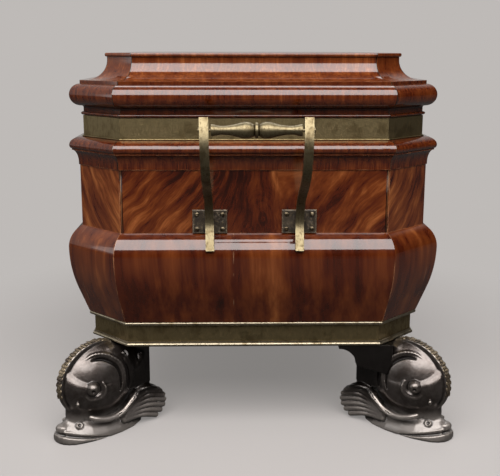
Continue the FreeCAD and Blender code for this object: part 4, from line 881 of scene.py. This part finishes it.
def bracket_ear(hand):
    """The coved bracket beside the neck, under the end of the case: (points, faces)."""
    mesh = bmesh.new()
    side = mesh.faces.new([mesh.verts.new((x, EAR_DEPTH[0], z)) for x, z in EAR_OUTLINE])
    for corner in bmesh.ops.extrude_face_region(mesh, geom=[side])["geom"]:
        if isinstance(corner, bmesh.types.BMVert):
            corner.co.y = EAR_DEPTH[1]
    bmesh.ops.recalc_face_normals(mesh, faces=mesh.faces)
    bmesh.ops.bevel(mesh, geom=[edge for edge in mesh.edges if edge.calc_face_angle(0.0) > 0.5],
                    offset=EAR_ROUNDING, segments=2, affect="EDGES", profile=0.5)
    bmesh.ops.triangulate(mesh, faces=[face for face in mesh.faces if len(face.verts) > 4])
    points = []
    for vert in mesh.verts:
        out = vert.co.x * math.cos(EAR_TURN) - vert.co.y * math.sin(EAR_TURN)
        across = vert.co.x * math.sin(EAR_TURN) + vert.co.y * math.cos(EAR_TURN)
        points.append([out, across if hand < 0 else -across, vert.co.z])
    faces = [[vert.index for vert in (face.verts if hand < 0 else reversed(face.verts))]
             for face in mesh.faces]
    mesh.free()
    return points, faces


def at_corner(points, corner):
    """Points of a foot, in its own millimetres, at their place under the case in metres."""
    turn = math.radians(CORNERS[corner])
    x_hand, y_hand = (1 if "back" in corner else -1), (-1 if "right" in corner else 1)
    points = np.asarray(points, float) / 1000
    x = points[:, 0] * math.cos(turn) - points[:, 1] * math.sin(turn) + x_hand * FOOT_PLACE[0]
    y = points[:, 0] * math.sin(turn) + points[:, 1] * math.cos(turn) + y_hand * FOOT_PLACE[1]
    return np.stack([x, y, points[:, 2]], -1)


def carve_feet():
    points, faces = skin(carve_head(CARVING_GRAIN))
    points = smoothed(points, faces)
    worn = bulge_out(points, faces)
    out, up = points[:, 0], points[:, 2]
    from_head = np.hypot((out - HEAD[0]) / HEAD_SIZE[0], (up - HEAD[2]) / HEAD_SIZE[2])
    low = np.clip((46.0 - up) / 16.0, 0, 1) * np.clip((from_head - 0.75) / 0.15, 0, 1)
    # painted shade on the neck, which stands in the shade of the case
    neck_shade = np.clip((-2.0 - out) / 10.0, 0, 1) * np.clip((up - 46.0) / 10.0, 0, 1)
    dust_and_shade = 0.5 + 0.5 * low - 0.5 * neck_shade     # 0 in the shade of the neck, 1 on beak and fins
    for corner, hand in EAR_HANDS.items():
        ear_points, ear_faces = bracket_ear(hand) if hand else ([], [])
        ear_faces = [[len(points) + index for index in face] for face in ear_faces]
        mesh = bpy.data.meshes.new("dolphin foot " + corner)
        mesh.from_pydata(at_corner(points.tolist() + ear_points, corner).tolist(), [],
                         faces.tolist() + ear_faces)
        # first level: rubbed lighter on ridges and painted shade in hollows; second level: dust on beak and
        # fins and painted shade on the neck
        for label, values in (("worn", worn), ("dust_and_shade", dust_and_shade)):
            attribute = mesh.attributes.new(label, "FLOAT", "POINT")
            attribute.data.foreach_set("value", values.tolist() + [0.0] * len(ear_points))
        mesh.polygons.foreach_set("use_smooth", [True] * len(faces) + [False] * len(ear_faces))
        new_piece("carved foot " + corner, mesh, "bronzed_carving", replaces=["dolphin_foot_" + corner])


# ---- small things that are repeated ----
def lay_out_repeats():
    """A tree that sets one item at each point, turned as the point says."""
    tree = bpy.data.node_groups.new("set items in place", "GeometryNodeTree")
    sockets = {}
    for label, kind in (("Points", "Geometry"), ("Item", "Object"), ("Finish", "Material"),
                        ("Unevenness", "Float"), ("Seed", "Int")):
        socket = tree.interface.new_socket(label, in_out="INPUT", socket_type="NodeSocket" + kind)
        sockets[label] = socket.identifier
    tree.interface.new_socket("Pieces", in_out="OUTPUT", socket_type="NodeSocketGeometry")
    bench = Bench(tree)
    given = bench.add("NodeGroupInput").outputs
    turn = bench.add("GeometryNodeInputNamedAttribute", {"Name": "turn"}, data_type="FLOAT_VECTOR")
    item = bench.add("GeometryNodeObjectInfo", {"Object": given["Item"]})
    size = bench.add("FunctionNodeRandomValue", {2: bench.minus(1.0, given["Unevenness"]),
                                                 3: bench.plus(1.0, given["Unevenness"]),
                                                 "Seed": given["Seed"]}, data_type="FLOAT")
    placed = bench.add("GeometryNodeInstanceOnPoints",
                       {"Points": given["Points"], "Instance": item.outputs["Geometry"],
                        "Rotation": turn.outputs["Attribute"], "Scale": size.outputs[1]})
    real = bench.add("GeometryNodeRealizeInstances", {0: placed.outputs[0]})
    finished = bench.add("GeometryNodeSetMaterial", {"Geometry": real.outputs[0],
                                                     "Material": given["Finish"]})
    bench.add("NodeGroupOutput", {0: finished.outputs[0]})
    return tree, sockets


REPEATS = lay_out_repeats()


def repeat(name, build, places, turns, finish_name, unevenness=0.0, seed=1, **piece):
    """One plain piece made of the same item at many places."""
    tree, sockets = REPEATS
    item = put(name + " item", closed_mesh(name + " item", build))
    points = bpy.data.meshes.new(name + " points")
    points.from_pydata([tuple(place) for place in places], [], [])
    points.attributes.new("turn", "FLOAT_VECTOR", "POINT").data.foreach_set("vector", np.ravel(turns))
    carrier = put(name + " points", points)
    modifier = carrier.modifiers.new("set items", "NODES")
    modifier.node_group = tree
    for label, value in (("Item", item), ("Finish", FINISHES[finish_name]), ("Unevenness", unevenness),
                         ("Seed", seed)):
        modifier[sockets[label]] = value
    bpy.context.view_layer.update()
    evaluated = carrier.evaluated_get(bpy.context.evaluated_depsgraph_get())
    mesh = bpy.data.meshes.new_from_object(evaluated)
    mesh.name = name
    for thing in (carrier, item):
        bpy.data.objects.remove(thing)
    mesh.polygons.foreach_set("use_smooth", [True] * len(mesh.polygons))
    new_piece(name, mesh, finish_name, **piece)


def turn_from(x_axis, y_axis, z_axis):
    return tuple(Matrix((x_axis, y_axis, z_axis)).transposed().to_euler())


def closed_mesh(name, build):
    mesh = bmesh.new()
    build(mesh)
    bmesh.ops.recalc_face_normals(mesh, faces=mesh.faces)
    made = bpy.data.meshes.new(name)
    mesh.to_mesh(made)
    mesh.free()
    return made


SCALE_SIZE = (3.6, 2.5, 0.7)      # half length, half width and half thickness of a scale, in millimetres
SCALE_RISE = 2.3                  # above the head
SCALE_ROWS = 26
ROW_STEP = 4.6                    # degrees, from the neck over the brow
FIRST_ROW = 104.0


def scale_shape(mesh):
    """One scale of the crest: a leaf that lifts a little at its lower end."""
    long, wide, thick = SCALE_SIZE
    bmesh.ops.create_uvsphere(mesh, u_segments=8, v_segments=5, radius=1.0)
    for vert in mesh.verts:
        x, y, z = vert.co
        vert.co = Vector((x * long, y * wide * (1.1 - 0.25 * x), z * thick)) / 1000
        vert.co.z += 0.22 * vert.co.x


def scale_crests():
    """Overlapping scales in staggered rows over the brow of each foot."""
    places, turns = [], []
    for corner, degrees in CORNERS.items():
        turn = Matrix.Rotation(math.radians(degrees), 3, "Z")
        for row in range(SCALE_ROWS):
            angle = math.radians(FIRST_ROW - ROW_STEP * row)
            out_along, up = on_crest(angle, SCALE_RISE)
            if out_along < 5.0 and up > 133.0:     # under the base
                continue
            out = Vector((math.cos(angle) / HEAD_SIZE[0], 0.0, math.sin(angle) / HEAD_SIZE[2])).normalized()
            for across in ((-4.2, 0.0, 4.2) if row % 2 else (-2.1, 2.1)):
                places.append(at_corner([[out_along, across, up]], corner)[0])
                side = Vector((0.0, 1.0, 0.0))
                down = side.cross(out)
                if down.z > 0:
                    down, side = -down, -side
                turns.append(turn_from(turn @ down, turn @ side, turn @ out))
    repeat("crest scales", scale_shape, places, turns, "crest_scales", 0.1, 7, slot="bronzed_carving")


# the round-headed plate screws, in millimetres
SCREW_HEAD = (3.4, 1.6)           # radius, height
HALF_SLOT = 0.35
SLOT_FLOOR = (3.3, 0.0, 0.7)      # radius, from, to
SHANK = (1.5, -9.0, 0.0)


def screw_shape(mesh):
    """Two halves of the head beside the slot, the floor of the slot, and the shank."""
    wide, high = SCREW_HEAD
    for hand in HANDS:
        half = bmesh.ops.create_uvsphere(mesh, u_segments=16, v_segments=8, radius=1.0)["verts"]
        for vert in half:
            vert.co = Vector((vert.co.x * wide, vert.co.y * wide, max(vert.co.z, 0.0) * high)) / 1000
        part = half + list({edge for vert in half for edge in vert.link_edges}) \
            + list({face for vert in half for face in vert.link_faces})
        cut = bmesh.ops.bisect_plane(mesh, geom=part, plane_co=(hand * HALF_SLOT / 1000, 0, 0),
                                     plane_no=(-hand, 0, 0), clear_outer=True)
        edges = [thing for thing in cut["geom_cut"] if isinstance(thing, bmesh.types.BMEdge)]
        bmesh.ops.edgenet_fill(mesh, edges=edges)
    for radius, low, top in (SLOT_FLOOR, SHANK):
        disc = bmesh.ops.create_cone(mesh, cap_ends=True, segments=16, radius1=radius / 1000,
                                     radius2=radius / 1000, depth=(top - low) / 1000)["verts"]
        bmesh.ops.translate(mesh, verts=disc, vec=(0, 0, (low + top) / 2000))


def islands(node):
    """Boxes of the separate solids of a node of the case."""
    mesh = bmesh.new()
    mesh.from_mesh(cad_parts[node].data)
    bmesh.ops.remove_doubles(mesh, verts=mesh.verts, dist=1e-6)
    left, boxes = set(mesh.verts), []
    while left:
        queue, found = [left.pop()], []
        while queue:
            vert = queue.pop()
            found.append(vert.co.copy())
            for edge in vert.link_edges:
                other = edge.other_vert(vert)
                if other in left:
                    left.discard(other)
                    queue.append(other)
        boxes.append((np.min(found, axis=0), np.max(found, axis=0)))
    mesh.free()
    return sorted(boxes, key=lambda box: tuple(np.round(box[0], 4)))


def drive_plate_screws():
    """Screws in the holes of the backplates, each slot as the screwdriver left it."""
    places, turns = [], []
    for number, (low, high) in enumerate(islands("handle_screws")):
        middle = (low + high) / 2
        hand = 1 if middle[1] > 0 else -1
        seat = (high[1] if hand > 0 else low[1]) - hand * SCREW_HEAD[1] / 1000
        places.append((middle[0], seat, middle[2]))
        angle = 0.4 + 1.3 * number
        out = Vector((0.0, hand, 0.0))
        across = Vector((math.cos(angle), 0.0, math.sin(angle)))
        turns.append(turn_from(across, out.cross(across), out))
    repeat("plate screws", screw_shape, places, turns, "plate_screws", slot="dark_bronze",
           replaces=["handle_screws"])


STRIP = (0.0011, 0.0006, FRIEZE_HEAD - FRIEZE_FOOT - 0.0006)
STRIP_SUNK = 0.0002               # behind the face of the frieze
FRIEZE_SIDES = ((0.194, HALF_LENGTH, 0.0), (0.284, HALF_WIDTH, 90.0))   # half width, distance, turn


def strip_shape(mesh):
    bmesh.ops.create_cube(mesh, size=1.0)
    for vert in mesh.verts:
        vert.co = [value * size for value, size in zip(vert.co, STRIP)]


def lay_stringing():
    """Pale and dark lines let into the frieze beside each canted corner."""
    for tone, inset in (("pale", 0.0022), ("dark", 0.0038)):
        places, turns = [], []
        for half, distance, angle in FRIEZE_SIDES:
            for turn in (math.radians(angle), math.radians(angle + 180.0)):
                for hand in HANDS:
                    along, out = hand * (half - inset), distance - STRIP_SUNK
                    places.append((along * math.cos(turn) - out * math.sin(turn),
                                   along * math.sin(turn) + out * math.cos(turn),
                                   (FRIEZE_FOOT + FRIEZE_HEAD) / 2))
                    turns.append((0.0, 0.0, turn))
        repeat(tone + " stringing", strip_shape, places, turns, tone + "_stringing", slot="flame_mahogany")


# ---- camera, floor and light ----
CAMERA_PLACE = (-0.0288, -1.5556, 0.5723)
CAMERA_TURN = (1.057, 12.52, 0.07)    # degrees to the right, down and round
BACKGROUND = (0.515, 0.491, 0.474)
FLOOR_COLOUR = (0.39, 0.375, 0.37)    # as it looks
FLOOR_BOUNCE = (0.040, 0.038, 0.036)  # what it gives back to the case
FLOOR_IN_REFLECTIONS = 0.15
FLOOR_REACH = 14.0


def set_camera():
    camera = bpy.data.cameras.new("camera")
    camera.lens = 61.2
    camera.sensor_width = 36.0
    camera.clip_start = 0.05
    yaw, pitch, roll = (math.radians(a) for a in CAMERA_TURN)
    ahead = Vector((math.sin(yaw) * math.cos(pitch), math.cos(yaw) * math.cos(pitch), -math.sin(pitch)))
    right = Vector((math.cos(yaw), -math.sin(yaw), 0.0))
    turn = Matrix((right, right.cross(ahead), -ahead)).transposed().to_4x4() @ Matrix.Rotation(roll, 4, "Z")
    holder = put("camera", camera)
    holder.matrix_world = Matrix.Translation(CAMERA_PLACE) @ turn
    bpy.context.scene.camera = holder


def looked_at(bench):
    """1 where the camera looks, straight or through something clear; and 1 in what shiny things mirror."""
    path = bench.add("ShaderNodeLightPath").outputs
    return bench.most(path["Is Camera Ray"], path["Is Transmission Ray"]), path["Is Glossy Ray"]


def lay_floor():
    """A wide sheet that keeps the shadow of the case and fades into the backdrop further out."""
    mesh = bpy.data.meshes.new("floor")
    corners = [(x * FLOOR_REACH, y * FLOOR_REACH, 0) for x, y in ((-1, -1), (1, -1), (1, 1), (-1, 1))]
    mesh.from_pydata(corners, [], [(0, 1, 2, 3)])
    floor = put("floor", mesh)
    material = bpy.data.materials.new("pale floor")
    bench = bench_of(material)
    seen, shiny = looked_at(bench)
    far = bench.length(bench.vector("MULTIPLY", bench.here(), (1.0, 0.85, 0.0)))
    matt = bench.add("ShaderNodeBsdfDiffuse", {"Color": bench.mix(seen, FLOOR_BOUNCE, FLOOR_COLOUR)})
    glow = bench.add("ShaderNodeEmission", {"Color": (*BACKGROUND, 1.0)})
    shown = bench.times(shiny, FLOOR_IN_REFLECTIONS, seen)
    share = bench.times(shown, bench.between(far, 0.42, 0.80, 0.42, 1.0))
    both_parts = bench.add("ShaderNodeMixShader", {0: share, 1: matt.outputs[0], 2: glow.outputs[0]})
    bench.add("ShaderNodeOutputMaterial", {"Surface": both_parts.outputs[0]})
    mesh.materials.append(material)


def set_room():
    """A pale backdrop behind and to the left of the case, and a dim room on the camera's side."""
    world = bpy.data.worlds.new("room")
    bpy.context.scene.world = world
    bench = bench_of(world)
    seen, shiny = looked_at(bench)
    x, y, _ = bench.split(bench.here("Generated"))
    pale = bench.between(bench.times(x, -0.55, y), 0.0, 0.5)
    level = bench.blend(shiny, bench.times(pale, 0.42, 0.05), bench.times(pale, 0.80, 0.03))
    glow = bench.add("ShaderNodeBackground", {"Color": (*BACKGROUND, 1.0),
                                              "Strength": bench.blend(seen, level, 1.0)})
    bench.add("ShaderNodeOutputWorld", {"Surface": glow.outputs[0]})


def hang_light(name, place, aim, size, power, colour=(1.0, 1.0, 1.0)):
    lamp = bpy.data.lights.new(name, "AREA")
    lamp.shape = "RECTANGLE"
    lamp.size, lamp.size_y = size
    lamp.energy = power
    lamp.color = colour
    holder = put(name, lamp)
    holder.location = place
    holder.rotation_euler = (Vector(aim) - Vector(place)).to_track_quat("-Z", "Y").to_euler()
    holder.visible_camera = False


def light_studio():
    hang_light("long softbox over the camera", (0.0, -1.33, 1.53), (0.0, -0.36, 0.30), (2.3, 1.42), 71.0,
               (1.0, 0.955, 0.93))
    hang_light("softbox behind", (0.1, 0.55, 1.75), (0.0, 0.0, 0.4), (1.6, 0.8), 16.0)
    hang_light("side fill", (-1.9, -0.5, 0.8), (-0.2, -0.2, 0.3), (0.9, 0.9), 3.0)
    for hand in HANDS:
        hang_light("high side softbox", (hand * 1.75, -0.85, 1.55), (0.0, -0.3, 0.2), (1.3, 1.3), 6.0,
                   (1.0, 0.97, 0.95))


dress_case()
carve_feet()
scale_crests()
drive_plate_screws()
lay_stringing()
set_camera()
lay_floor()
set_room()
light_studio()
bpy.context.scene.view_settings.view_transform = "Standard"
